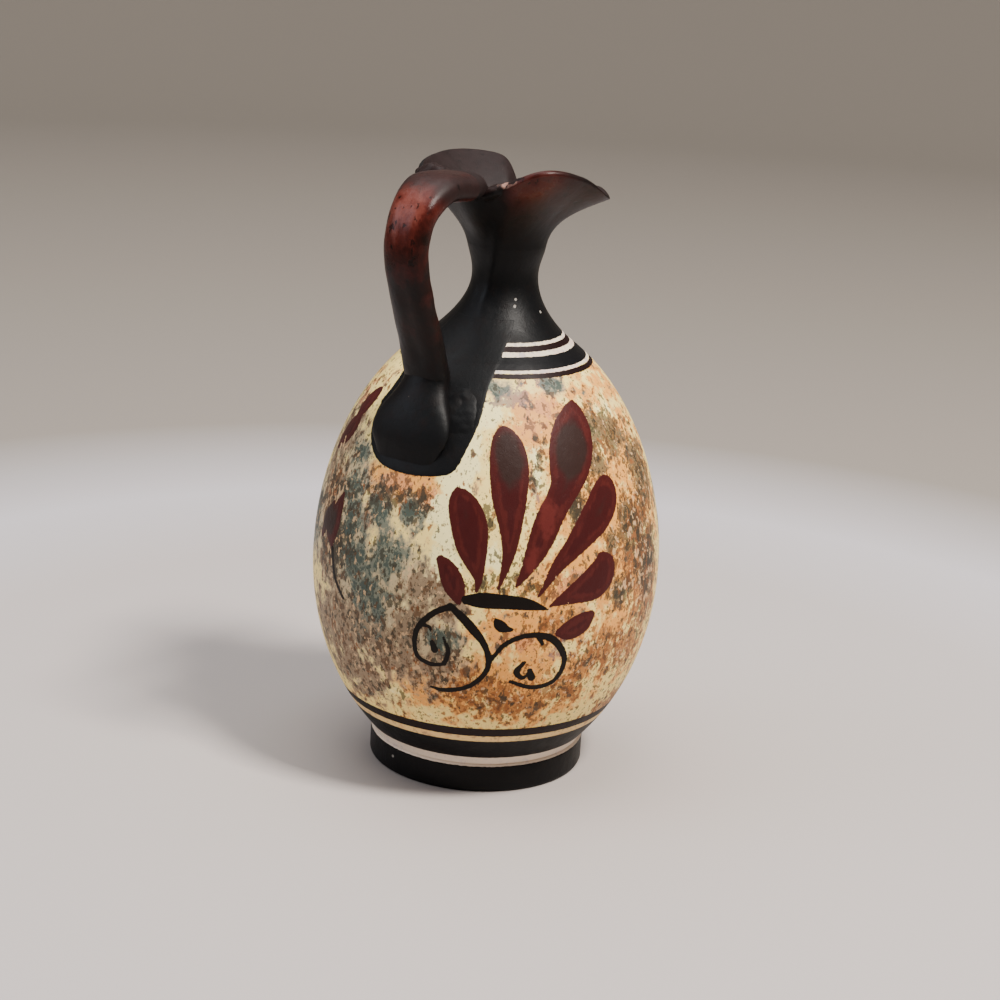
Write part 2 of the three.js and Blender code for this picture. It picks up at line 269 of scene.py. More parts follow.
def makeStage():
    # the flat floor, a quarter circle and the wall, turned once round; uncoated matt paper,
    # which scatters the light and shows no highlight
    quarter = np.linspace(0, np.pi / 2, 17)
    outermost = stage["flat"] + stage["bend"]
    radius = [*stage["inner"], *(stage["flat"] + stage["bend"] * np.sin(quarter)), outermost]
    height = [0, 0, *(stage["bend"] * (1 - np.cos(quarter))), stage["wall"]]
    angles = np.linspace(0, 2 * np.pi, 129)[:-1]
    sweep = makePiece("paper_sweep", onRing(radius, angles, height)[::-1] / mm, caps=(-1,))
    sweep.data.flip_normals()
    material, tree = newMaterial("mattPaper")
    place = addNode(tree, "TexCoord", out=3)
    flat = addNode(tree, "VectorMath", {0: place, 1: (1, 1, 0)}, operation="MULTIPLY")
    away = addNode(tree, "VectorMath", {0: flat}, out=1, operation="LENGTH")
    share = addNode(tree, "Math", {0: away, 1: stage["reach"]}, operation="DIVIDE")
    stops = [(distance / stage["reach"], linear(code)) for distance, code in stage["tints"]]
    tint = addNode(tree, "ValToRGB", {0: share}, stops=stops)
    shader = addNode(tree, "BsdfPrincipled", {"Base Color": tint, "Roughness": stage["roughness"]})
    addNode(tree, "OutputMaterial", {"Surface": shader})
    sweep.data.materials.append(material)


def makeLamps():
    # each lamp stands off along its way, told in the camera's right, up and back, and faces the jug
    for lamp in lamps:
        way = (right * lamp["way"][0] + up * lamp["way"][1] + back * lamp["way"][2]).normalized()
        data = bpy.data.lights.new(lamp["name"], "AREA")
        data.size = lamp["size"]
        data.energy = lamp["power"]
        data.color = linear(lamp["tint"])[:3]
        light = bpy.data.objects.new(lamp["name"], data)
        facing = way.to_track_quat("Z", "Y").to_matrix().to_4x4()
        light.matrix_world = Matrix.Translation(lampAim + way * lamp["distance"]) @ facing
        bpy.context.scene.collection.objects.link(light)
    world = bpy.data.worlds.new("softSky")
    world.use_nodes = True
    background = world.node_tree.nodes["Background"]
    background.inputs["Color"].default_value = linear(sky["tint"])
    background.inputs["Strength"].default_value = sky["strength"]
    bpy.context.scene.world = world


makeStage()
makeLamps()
print("stage lit")


# Belly: an egg with its blunt end up, open at the shoulder

belly = dict(radius=33.9, middle=41.0, baseRadius=20.2, wall=3.0, floor=3.4, openingRadius=10.2,
             lowerFullness=2.0, upperFullness=1.95, slipRelief=0.12, paintRelief=0.04,
             cove=0.65, coveHeight=0.6, columns=460, brushed=(22.0, 79.0),
             closer=0.9, closeWithin=42, closeUntil=50)
shoulderHeight = bellyHigh[2]
shoulderRadius = neckHigh[0]


def eggRadius(z, widest, lowEnd, lowRadius, highEnd, highRadius):
    # widest * (1 - (1 - s^f) d^f)^(1/f): d is the distance from the middle as a share of the
    # height to that end, s the end's share of the widest radius and f the fullness
    below = z < belly["middle"]
    span = np.where(below, belly["middle"] - lowEnd, highEnd - belly["middle"])
    fullness = np.where(below, belly["lowerFullness"], belly["upperFullness"])
    share = np.where(below, lowRadius, highRadius) / widest
    distance = np.abs(z - belly["middle"]) / span
    return widest * np.maximum(1 - (1 - share ** fullness) * distance ** fullness, 0) ** (1 / fullness)


def bellyOuter(z):
    return eggRadius(z, belly["radius"], bellyLow[2], belly["baseRadius"], shoulderHeight, shoulderRadius)


def bellyInner(z):
    wall = belly["wall"]
    return eggRadius(z, belly["radius"] - wall, bellyLow[2] + belly["floor"],
                     belly["baseRadius"] - wall, shoulderHeight, belly["openingRadius"])


# Painted motifs. A brush stroke is a smooth route of (across, height, half width) in
# millimetres, where across is measured round the belly from the motif's own middle

brushTip = 0.12  # no stroke is finer
brushMargin = 2.5  # a point farther outside a stroke counts as this far
palmette = dict(
    petals=[
        [(-17.9, 50.4, 0.9), (-16.6, 48.6, 1.8), (-15.6, 46.3, 2.1), (-14.8, 44.2, 1.3), (-14.4, 42.6, 0.3)],
        [(-14.7, 63.2, 0.3), (-13.6, 60.2, 2.8), (-12.7, 57.0, 3.4), (-12.3, 53.5, 2.9),
         (-11.5, 50.0, 1.7), (-11.0, 47.5, 0.8), (-11.3, 45.2, 0.25)],
        [(-5.6, 73.9, 0.2), (-5.0, 70.8, 2.8), (-4.9, 67.4, 3.6), (-5.2, 62.8, 3.3), (-5.2, 58.5, 2.4),
         (-5.3, 54.1, 1.5), (-6.1, 50.0, 0.85), (-7.3, 45.9, 0.25)],
        [(9.1, 77.5, 0.12), (8.6, 74.2, 3.0), (7.9, 71.0, 4.7), (7.0, 67.6, 4.4), (5.9, 64.4, 3.2),
         (4.0, 61.3, 2.6), (2.2, 58.4, 2.6), (0.5, 54.8, 2.4), (-1.5, 50.6, 1.5), (-4.0, 46.4, 0.3)],
        [(14.3, 64.7, 0.15), (14.4, 61.2, 3.3), (12.6, 58.4, 3.6), (10.0, 55.9, 2.9), (6.7, 52.7, 2.0),
         (3.7, 49.7, 1.3), (0.2, 44.4, 0.25)],
        [(12.8, 51.2, 0.2), (13.9, 48.2, 2.9), (12.0, 46.0, 3.4), (7.9, 44.5, 2.1), (4.7, 43.4, 1.0),
         (2.5, 42.4, 0.25)],
        [(11.3, 39.6, 1.0), (9.4, 38.3, 2.1), (7.0, 37.3, 2.0), (4.7, 37.0, 0.8)],
    ],
    strokes=[
        [(-13.1, 43.5, 0.9), (-9.9, 43.6, 1.5), (-5.4, 43.4, 1.35), (-1.6, 42.9, 1.1), (2.2, 41.8, 0.15)],
        [(-7.5, 39.9, 0.45), (-6.6, 38.8, 1.1), (-5.4, 38.2, 0.65), (-4.2, 38.0, 0.25)],
        [(-15.8, 42.0, 0.6), (-19.3, 40.1, 0.6), (-22.2, 36.3, 0.55), (-21.9, 31.6, 0.45),
         (-19.0, 29.9, 0.45), (-16.1, 30.3, 0.35)],
        [(-21.4, 37.6, 0.3), (-19.9, 37.5, 0.35), (-19.3, 36.7, 0.25)],
        [(-16.0, 42.1, 0.6), (-12.3, 38.7, 0.9), (-9.0, 34.4, 0.6), (-8.3, 29.8, 0.55),
         (-11.2, 26.0, 0.5), (-15.6, 24.6, 0.5), (-18.5, 25.0, 0.2)],
        [(-16.9, 35.7, 0.25), (-15.8, 33.0, 0.45), (-16.3, 30.3, 0.45)],
        [(-19.0, 34.5, 0.45), (-18.4, 33.0, 0.7)],
        [(-7.9, 31.6, 0.35), (-5.4, 35.2, 0.5), (-1.0, 36.9, 0.55), (3.7, 35.7, 0.75), (6.5, 31.3, 0.6),
         (5.0, 27.0, 0.5), (0.8, 25.8, 0.5), (-3.7, 27.3, 0.35)],
        [(0.9, 36.3, 0.5), (1.6, 34.9, 0.35)],
        [(-1.6, 31.2, 0.45), (-2.8, 29.4, 0.6), (-1.5, 28.0, 0.45), (-0.5, 28.9, 0.3)],
        [(-0.3, 29.6, 0.5), (0.3, 28.0, 0.75)],
    ],
)
farLeaves = dict(
    petals=[
        [(-11.8, 74.8, 1.4), (-11.6, 73.0, 2.2), (-11.6, 71.1, 1.6)],
        [(-12.6, 69.6, 1.0), (-11.7, 67.6, 2.7), (-10.4, 65.4, 2.0), (-9.4, 63.4, 0.5)],
        [(-21.2, 57.0, 0.5), (-20.9, 53.5, 1.9), (-20.3, 50.5, 2.6), (-21.2, 47.8, 1.0), (-22.0, 46.0, 0.4)],
        [(-18.6, 54.5, 0.6), (-17.4, 51.5, 1.4), (-16.4, 48.0, 0.9)],
    ],
    strokes=[[(-22.0, 46.5, 0.5), (-22.8, 44.3, 0.45), (-24.3, 41.0, 0.42), (-27.2, 38.0, 0.38)]],
)
# towards the handle the far palmette has loose leaves and a trailing stroke in place of its
# first two petals and its first scroll
farPalmette = dict(petals=palmette["petals"][2:], strokes=palmette["strokes"][:2] + palmette["strokes"][7:])
nearMotif = dict(azimuth=-128.0, mirror=1, design=palmette)
farMotif = dict(azimuth=100.0, mirror=-1, design=farPalmette)
leafMotif = dict(azimuth=118.0, mirror=-1, design=farLeaves)
brushedMotifs = (nearMotif, farMotif, leafMotif)
frontMotif = dict(
    petals=5, foot=44.0, longest=27.0, shortest=11.0, petalTurn=21.0, petalHalf=3.3,
    shares=[0.1, 0.4, 0.7, 0.88, 1.0], halves=[0.12, 0.42, 1.0, 0.8, 0.15],
    scrollCentre=(8.2, 33.4), scrollRadius=5.6, scrollTurns=(0.3, 1.6), scrollHalf=(0.5, 0.35),
    bar=[(0, 41.6, 1.2), (4, 41.7, 1.2), (8, 42.2, 0.4)],
    tendril=[(12.8, 30.6, 0.3), (18.0, 29.0, 0.35), (24.0, 31.5, 0.4), (29.0, 37.0, 0.35),
             (30.0, 41.0, 0.3)],
    leaf=[(28.0, 36.5, 0.3), (31.0, 42.0, 1.4), (33.0, 48.0, 1.8), (34.0, 54.0, 0.4)],
)


def frontHalf():
    # a fan of petals, each shorter and more turned than the last, a bar, a scroll whose radius
    # shrinks as it winds, and a tendril that ends in a leaf; drawn for one side only
    design = frontMotif
    shares, halves = np.array(design["shares"]), np.array(design["halves"]) * design["petalHalf"]
    petals = []
    for k in range(design["petals"]):
        turn = math.radians(design["petalTurn"] * k)
        share = k / (design["petals"] - 1)
        length = design["longest"] + (design["shortest"] - design["longest"]) * share
        across = shares * length * math.sin(turn)
        height = design["foot"] + shares * length * math.cos(turn)
        petals.append(np.stack([across, height, halves * (1 - 0.1 * k)], -1))
    winding = np.linspace(*design["scrollTurns"], 14) * 2 * np.pi
    radius = design["scrollRadius"] * np.linspace(1, 0.3, 14)
    scroll = np.stack([design["scrollCentre"][0] + radius * np.cos(winding),
                       design["scrollCentre"][1] + radius * np.sin(winding),
                       np.linspace(*design["scrollHalf"], 14)], -1)
    return dict(petals=[*petals, design["leaf"]], strokes=[scroll, design["bar"], design["tendril"]])


def readRoute(route, steps=6):
    # a smooth curve through the points of a route
    points = np.asarray(route, float)
    ends = carriedOn(points)
    t = np.linspace(0, 1, steps + 1)[:-1, None, None]
    curve = throughPoints(ends[:-3], ends[1:-2], ends[2:-1], ends[3:], t)
    smooth = np.vstack([curve.transpose(1, 0, 2).reshape(-1, points.shape[1]), points[-1:]])
    smooth[:, 2:] = np.maximum(smooth[:, 2:], brushTip)
    return smooth


def brushDepth(across, height, route):
    # how deep a point lies inside a stroke: its half width less the distance to its route
    smooth = readRoute(route)
    widest = smooth[:, 2].max() + brushMargin
    low = smooth[:, :2].min(0) - widest
    high = smooth[:, :2].max(0) + widest
    close = (across > low[0]) & (across < high[0]) & (height > low[1]) & (height < high[1])
    place = np.stack([across[close], height[close]], -1)[:, None]
    a, b = smooth[:-1], smooth[1:]
    step = (b - a)[:, :2]
    share = np.clip(((place - a[:, :2]) * step).sum(-1) / np.maximum((step ** 2).sum(-1), 1e-9), 0, 1)
    nearest = a[:, :2] + share[..., None] * step
    half = a[:, 2] + share * (b - a)[:, 2]
    inside = (half - np.linalg.norm(place - nearest, axis=-1)).max(-1)
    depth = np.full(across.shape, -brushMargin)
    depth[close] = np.maximum(inside, -brushMargin)
    return depth


def paintDepths(azimuth, height, radius):
    # the deepest petal and the deepest dark stroke at every point of the belly; the front's
    # motif is drawn on both sides of its middle
    draws = [(motif["mirror"] * radius * np.radians(turnFrom(azimuth, motif["azimuth"])), motif["design"])
             for motif in brushedMotifs]
    draws.append((np.abs(radius * np.radians(turnFrom(azimuth))), frontHalf()))
    fields = {kind: np.full(azimuth.shape, -brushMargin) for kind in ("petals", "strokes")}
    for across, design in draws:
        for kind, routes in design.items():
            for route in routes:
                fields[kind] = np.maximum(fields[kind], brushDepth(across, height, route))
    return fields["petals"], fields["strokes"]


# Edge of the black slip round the handle's root: degrees round the jug, and height
slipEdge = [(-125.0, 90.0), (-132.8, 87.5), (-135.8, 86.6), (-138.5, 85.9), (-139.8, 85.2),
            (-142.0, 84.0), (-144.5, 82.9), (-146.0, 81.8), (-148.0, 80.3), (-149.2, 78.1),
            (-151.0, 74.1), (-154.8, 69.6), (-156.8, 67.1), (-160.2, 65.3), (-168.8, 64.4),
            (-179.0, 64.2), (-189.0, 64.8), (-196.2, 66.8), (-201.2, 69.5), (-204.0, 72.5),
            (-204.2, 74.7), (-203.8, 77.0), (-204.8, 79.6), (-209.0, 81.0), (-214.0, 84.0),
            (-215.0, 90.0)]


def slipDepth(azimuth, height):
    # signed distance to the slip's edge, above zero inside it by crossing count, on the belly
    # unrolled from the line of the handle
    def unrolled(turn, level):
        around = bellyOuter(np.minimum(level, shoulderHeight)) * np.radians(turn + 180)
        return np.stack([around, level], -1)

    place = unrolled((azimuth + 360) % 360 - 360, height)
    edge = readRoute([(*corner, 1) for corner in slipEdge], 4)
    edge = unrolled(edge[:, 0], edge[:, 1])
    nearest = np.full(azimuth.shape, np.inf)
    inside = np.zeros(azimuth.shape, bool)
    for start, end in zip(edge, np.roll(edge, -1, 0)):
        step = end - start + (0, 1e-9)
        share = np.clip(((place - start) @ step) / (step @ step), 0, 1)
        gap = np.linalg.norm(place - start - share[..., None] * step, axis=-1)
        nearest = np.minimum(nearest, gap)
        crossed = (start[1] > height) != (end[1] > height)
        inside ^= crossed & (place[..., 0] < start[0] + step[0] * (height - start[1]) / step[1])
    return np.where(inside, nearest, -nearest)


# Clouds of colour, shade and wear: degrees round the jug, height, half width and half height
# in mm; dusk, fresh and worn are on the petals and the others in the pale ground
clouds = dict(
    teal=[(-199, 59, 4, 5.5), (-195, 52, 5.5, 7), (-184, 57, 4, 4.5), (-178, 49, 5, 6.5),
          (-185, 41, 6.5, 6.5), (-171, 58, 3, 3), (-201, 65, 3.5, 3), (-158, 35, 4, 3),
          (-145, 80, 3, 1.6), (-112, 80, 3, 1.6), (-191, 46, 6, 7)],
    tan=[(-100, 55, 14, 26), (-84, 60, 12, 24), (-125, 40, 14, 8), (-124, 74, 8, 6), (-140, 26, 22, 8),
         (-178, 62, 10, 4)],
    orange=[(-85, 47, 8, 10), (-80, 37, 7, 8), (-88, 31, 7, 6), (-103, 31, 7, 6), (-116, 25, 8, 5),
            (-137, 23, 10, 5), (-121, 38, 5, 4), (-83, 56, 6, 5), (-148, 25, 6, 5), (-79, 17, 10, 4)],
    brown=[(-166, 44, 6, 5), (-158, 42, 5, 4), (-192, 35, 9, 8), (-205, 45, 7, 10), (-203, 32, 10, 9),
           (-177, 31, 9, 7), (-168, 37, 7, 6), (-193, 24, 10, 6), (-213, 56, 7, 10), (-219, 65, 7, 9),
           (-160, 30, 6, 5)],
    peach=[(-188, 55, 2.5, 3), (-180, 62, 6, 2.5), (-167, 61, 3.5, 3), (-129, 74, 4, 3),
           (-120, 77, 4, 2.5), (-133, 36, 5, 3), (-118, 46, 5, 4)],
    olive=[(-88, 71, 5, 5), (-100, 72, 5, 4), (-101, 67, 3, 3), (-114, 60, 2, 5), (-90, 55, 4, 6),
           (-74, 63, 6, 8), (-100, 52, 2.5, 3), (-96, 43, 4, 3), (-203, 47, 4, 5), (-78, 47, 5, 8)],
    plum=[(-140, 78, 3, 2), (-134, 79, 3, 2), (-116, 81, 4, 2), (-129, 64, 1.5, 3), (-119, 34, 3, 3)],
    bright=[(-155, 63, 4, 4), (-160, 59, 3.5, 4), (-153, 69, 3, 5), (-148, 75, 3, 3), (-128, 68, 1.5, 4),
            (-144, 51, 2.5, 4), (-159, 50, 4, 4), (-157, 55, 4, 4)],
    shade=[(-134, 48, 3, 2), (-140, 46, 3, 1.5), (-127, 46, 4, 2), (-144, 58, 1.5, 4), (-129, 65, 1.5, 4),
           (-126, 69, 1.5, 3), (-132, 51, 2, 2), (-146, 46, 3, 2), (-114, 62, 1.5, 4), (-107, 63, 2, 3),
           (-143, 69, 1.5, 4), (-180, 60, 8, 3), (-168, 60, 3, 3)],
    dusk=[(-138, 70, 4, 5), (-112, 70, 5, 5)],
    fresh=[(-125, 59, 2.5, 5), (-130, 51, 2, 4)],
    worn=[(-129, 47, 4, 4)],
)
# Where no view of the real jug exists, each kind of cloud is scattered by a seeded draw from
# these ranges
unseen = dict(azimuth=(-55, 150), height=(18, 80), wide=(3, 8), tall=(3, 9), count=6, seed=11)
# Chips in the slip: three on the neck and one on the foot
chips = dict(size=0.38, places=[(-2.95, -5.65, 93.5), (-3.5, -5.93, 92.4), (1.65, -8.25, 90.9),
                                (-20.5, 5.1, 3.4)])


def cloudFields(azimuth, height, radius):
    # the field of each kind is the tallest of its clouds' bell curves
    draw = np.random.default_rng(unseen["seed"])
    ranges = [unseen[label] for label in ("azimuth", "height", "wide", "tall")]
    fields = {}
    for kind, places in clouds.items():
        guessed = np.stack([draw.uniform(low, high, unseen["count"]) for low, high in ranges], -1)
        total = np.zeros(azimuth.shape)
        for middle, level, wide, tall in [*places, *guessed]:
            across = radius * np.radians(turnFrom(azimuth, middle))
            total = np.maximum(total, np.exp(-(across / wide) ** 2 - ((height - level) / tall) ** 2))
        fields[kind] = total
    return fields


def paintValues(points):
    # every number that the painted clay's material reads, for points of belly, neck and foot
    x, y, z = points[..., 0], points[..., 1], points[..., 2]
    azimuth = np.degrees(np.arctan2(y, x))
    radius = np.maximum(np.hypot(x, y), 1)
    petals, strokes = paintDepths(azimuth, z, radius)
    chipped = sum(spot(points, place, chips["size"]) for place in chips["places"])
    return dict(petalDepth=petals, strokeDepth=strokes, slipDepth=slipDepth(azimuth, z), chips=chipped,
                **cloudFields(azimuth, z, radius))


def spreadAngles():
    # degrees round the belly, about twice as close together where the brushwork is
    fine = np.linspace(-180, 180, 3601)
    weight = np.ones_like(fine)
    for motif in brushedMotifs:
        out = np.abs(turnFrom(fine, motif["azimuth"]))
        weight += belly["closer"] * smoothstep(-out, -belly["closeUntil"], -belly["closeWithin"])
    total = np.concatenate([[0], np.cumsum((weight[1:] + weight[:-1]) / 2)])
    return np.interp(np.linspace(0, total[-1], belly["columns"] + 1)[:-1], total, fine)


def paintedRelief(points, values):
    # thick slip stands proud of the bare ground, as petals do a little; none above the rings
    height = belly["slipRelief"] * smoothstep(values["slipDepth"], -0.25, 0.35) - belly["paintRelief"]
    height += belly["paintRelief"] * smoothstep(values["petalDepth"], -0.1, 0.15)
    height *= 1 - smoothstep(points[..., 2], 85, 90)
    return points + unit(points * (1, 1, 0)) * height[..., None]


def makeBelly(material):
    angles = np.radians(spreadAngles())
    low, high = belly["brushed"]
    heights = np.concatenate([np.linspace(bellyLow[2], low, 22), np.linspace(low, high, 142)[1:],
                              np.linspace(high, shoulderHeight, 22)[1:]])
    # a cove drawn out over the foot's edge, which falls off as an exponential
    cove = belly["cove"] * np.exp(-(heights - bellyLow[2]) / belly["coveHeight"])
    outer = handMade(onRing(bellyOuter(heights) + cove, angles, heights))
    values = paintValues(outer)
    insideHeights = np.linspace(shoulderHeight, bellyLow[2] + belly["floor"], 22)
    inner = handMade(onRing(bellyInner(insideHeights), angles, insideHeights))
    points = np.concatenate([paintedRelief(outer, values), inner])
    # the inside is unpainted: far outside every stroke, and in no cloud
    for label, numbers in values.items():
        unpainted = -brushMargin if label.endswith("Depth") else 0.0
        values[label] = np.concatenate([numbers, np.full(inner.shape[:2], unpainted)])
    piece = makePiece("painted_belly", points, values)
    dress(piece, "belly_shell", material)


# Neck: hollow, narrowest below the mouth, with a soft fold where the mouth was pinched

neck = dict(waistRadius=6.3, waistDrop=5.8, topRadius=7.5, lean=1.3, sweepIn=4.27, sweepUp=3.2,
            straight=5.2, ease=(0.4, 0.65), bore=3.9, throat=5.0, frontSlope=0.09, moreAtBack=0.2,
            lap=0.5, lapRise=0.03)
mouthSeat = neckHigh[2]
waistHeight = mouthSeat - neck["waistDrop"]
# the fold runs down from the mouth's pinched corner: degrees round the neck at each height
fold = dict(heights=[84.0, 89.5, 92.8, 98.6, 102.8, 108.4, 112.0],
            angles=[-166.0, -172.0, -176.0, -168.0, -159.0, -151.0, -150.0],
            depth=0.35, width=10.0, rises=(86, 93), fades=(107, 113))


def foldTurn(points):
    # degrees round the neck's own axis from the line of the fold
    angle = np.degrees(np.arctan2(points[..., 1], points[..., 0] - neck["lean"]))
    return turnFrom(angle, np.interp(points[..., 2], fold["heights"], fold["angles"]))


def withFold(points):
    # a soft ridge along the fold, a bell curve in section
    z = points[..., 2]
    ridge = np.exp(-(foldTurn(points) / fold["width"]) ** 2)
    strength = fold["depth"] * ridge * smoothstep(z, *fold["rises"]) * (1 - smoothstep(z, *fold["fades"]))
    away = unit((points - (neck["lean"], 0, 0)) * (1, 1, 0))
    return points + away * strength[..., None]


def neckRings(angles, shoulder, waist, seat, steps):
    # two cubic curves through the radii at shoulder, waist and seat, joined at the waist, of
    # which the upper ends as steep as the mouth's flare begins
    t = np.linspace(0, 1, steps)[:, None]
    easeLow, easeHigh = (waistHeight + share * (mouthSeat - waistHeight) for share in neck["ease"])
    lean = neck["lean"]
    slope = neck["frontSlope"] + neck["moreAtBack"] * (1 - np.cos(angles)) / 2
    beforeSeat = seat - slope * (mouthSeat - easeHigh)
    radius = np.vstack([bezier(shoulder, shoulder - neck["sweepIn"], waist, waist, t) + 0 * angles,
                        bezier(waist, waist, beforeSeat, seat, t)[1:]])
    height = np.vstack([bezier(shoulderHeight, shoulderHeight + neck["sweepUp"],
                               waistHeight - neck["straight"], waistHeight, t),
                        bezier(waistHeight, easeLow, easeHigh, mouthSeat, t)[1:]])
    centre = np.vstack([bezier(0.0, 0.0, lean, lean, t), np.full((steps - 1, 1), lean)])
    return onRing(radius, angles, height, centre)


def makeNeck(material):
    angles = np.linspace(-np.pi, np.pi, 301)[:-1]
    outer = neckRings(angles, shoulderRadius, neck["waistRadius"], neck["topRadius"], 70)
    inner = neckRings(angles, belly["openingRadius"], neck["bore"], neck["throat"], 24)
    # the neck's clay laps a hair over the belly, and hides the joint
    lapHeight = shoulderHeight - neck["lap"]
    lap = onRing([bellyOuter(lapHeight) + neck["lapRise"]], angles, [lapHeight])
    outer = handMade(np.concatenate([lap, withFold(outer)]))
    inner = handMade(inner)[::-1]
    values = paintValues(np.concatenate([outer, inner]))
    outer = paintedRelief(outer, {label: numbers[:len(outer)] for label, numbers in values.items()})
    piece = makePiece("thrown_neck", np.concatenate([outer, inner]), values, closeRows=True)
    dress(piece, "neck_tube", material)


# Foot: a turned disc, its edges rounded by the sponge, cut from the wheel with a wire

foot = dict(radius=footHigh[0], height=footHigh[2], edge=0.7, hub=1.0,
            wireStep=1.7, wireDepth=0.05, wireCentre=(30, -12), wireFade=1.5)


def makeFoot(material):
    # underside, rounded edge, wall, rounded edge and top, turned once round
    corner = np.linspace(0, np.pi / 2, 8)[1:]
    edge = foot["edge"]
    flat = foot["radius"] - edge
    bottom = np.linspace(foot["hub"], flat, 40)
    wall = np.linspace(edge, foot["height"] - edge, 16)[1:-1]
    top = np.linspace(flat, foot["hub"], 14)[1:]
    radius = np.concatenate([bottom, flat + edge * np.sin(corner), np.full(len(wall), foot["radius"]),
                             flat + edge * np.cos(corner), top])
    height = np.concatenate([0 * bottom, edge - edge * np.cos(corner), wall,
                             foot["height"] - edge + edge * np.sin(corner), 0 * top + foot["height"]])
    angles = np.linspace(-np.pi, np.pi, 481)[:-1]
    points = handMade(onRing(radius, angles, height))
    # shallow arcs left by the wire, which run round a point beside the foot
    arcs = np.hypot(points[..., 0] - foot["wireCentre"][0], points[..., 1] - foot["wireCentre"][1])
    mark = (1 - np.cos(2 * np.pi * arcs / foot["wireStep"])) / 2
    under = smoothstep(-points[..., 2], -0.01, 0)
    under = under * smoothstep(flat - radius, 0, foot["wireFade"])[:, None]
    points[..., 2] += foot["wireDepth"] * mark * under
    piece = makePiece("turned_foot", points, paintValues(points))
    dress(piece, "foot_disc", material)


# Mouth: a funnel that rises at the sides, drops towards the spout and is pinched on both sides

mouth = dict(
    reach=[18.8, 18.6, 19.5, 17.7, 16.5, 12.9, 12.4],
    rise=[9.1, 12.6, 12.9, 14.9, 15.0, 12.9, 11.1],
    lift=[0, 1.1, 2.2, 0, -1.3, 0.2, 0],
    lip=1.7,
    lowOut=(0.05, 0.18), lowUp=(0.63, 0.36), highOut=(0.53, 0.71), highUp=(0.86, 0.52),
    pinchAngle=math.radians(23.2), pinchSpread=math.radians(8.4), pinchDepth=3.5, pinchDrop=4.4,
    sag=0.09, sagWave=9.0, brownFrom=(-6, 8), brownUntil=(110, 170), brownRise=(104, 113),
    redPatches=[((-9.7, -10.5, 116.0), 4.2), ((-7.0, -14.0, 117.0), 4.0)],
    # the worn spot on the lip is pale wear that also paints the lip's highlight
    wornGlintPatch=((-10.0, -9.0, 116.0), 2.4),
    firing=dict(black=0.1, browned=0.1, brownedRim=0.3, patch=0.4, lip=-0.18, inside=0.4),
    bloom=dict(browned=0.45, lip=0.4, inside=0.8),
)


def readRing(values, angle):
    # a smooth curve through numbers that go once round at even steps
    values = np.asarray(values, float)
    place = (angle / (2 * np.pi)) % 1 * len(values)
    index = np.floor(place).astype(int)
    return throughPoints(*(values[(index + k) % len(values)] for k in (-1, 0, 1, 2)), place - index)


def wholeRing(half, lift):
    # numbers from the spout to the back on the left side, and back on the right; the lift is
    # added to the left and taken from the right
    left = [value + more for value, more in zip(half, lift)]
    other = [value - more for value, more in zip(half, lift)]
    return left + other[1:-1][::-1]


reachRing = wholeRing(mouth["reach"], [0] * 7)
riseRing = wholeRing(mouth["rise"], mouth["lift"])


def rimPoint(angle, inward, drop):
    # the rim's point at an angle, moved inward and down; each pinch is a bell curve
    fromFront = np.abs(np.arctan2(np.sin(angle), np.cos(angle)))
    pinch = np.exp(-((fromFront - mouth["pinchAngle"]) / mouth["pinchSpread"]) ** 2)
    reach = readRing(reachRing, angle) - mouth["pinchDepth"] * pinch - inward
    height = mouthSeat + readRing(riseRing, angle) - mouth["pinchDrop"] * pinch - drop
    return np.stack([reach * np.cos(angle), reach * np.sin(angle), height], -1)


def flare(base, rim, angle, steps):
    # cubic curves from base to rim, drawn out less at the spout and rounder at the back
    back = (1 - np.cos(angle)) / 2

    def onTheWay(outPair, upPair):
        out = outPair[0] + (outPair[1] - outPair[0]) * back
        rise = upPair[0] + (upPair[1] - upPair[0]) * back
        return base + (rim - base) * np.stack([out, out, rise], -1)

    t = np.linspace(0, 1, steps)[:, None, None]
    low = onTheWay(mouth["lowOut"], mouth["lowUp"])
    high = onTheWay(mouth["highOut"], mouth["highUp"])
    return bezier(base, low, high, rim, t)


def mouthRings(angles):
    # outside and inside flares from the seat, joined by a lip that is a quarter round
    half = mouth["lip"] / 2
    outerBase, innerBase = (onRing([radius], angles, [mouthSeat], neck["lean"])[0]
                            for radius in (neck["topRadius"], neck["throat"]))
    outside = flare(outerBase, rimPoint(angles, 0.0, half), angles, 60)
    turn = np.linspace(0, 0.5, 12)[1:-1, None] * np.pi
    lip = rimPoint(angles, half - half * np.cos(turn), half - half * np.sin(turn))
    inside = flare(innerBase, rimPoint(angles, half, 0.0), angles, 50)[::-1]
    return outside, lip, inside


def slipValues(points, firing, bloom=0.0, wearAndGlint=0.0):
    # how red the iron slip was fired, how bloomed and how worn it is, for every point; the wear also paints
    # a highlight on the lip and the near seam
    given = dict(firing=firing, bloom=bloom, wearAndGlint=wearAndGlint)
    return {label: np.broadcast_to(numbers, points.shape[:-1]) * 1.0 for label, numbers in given.items()}


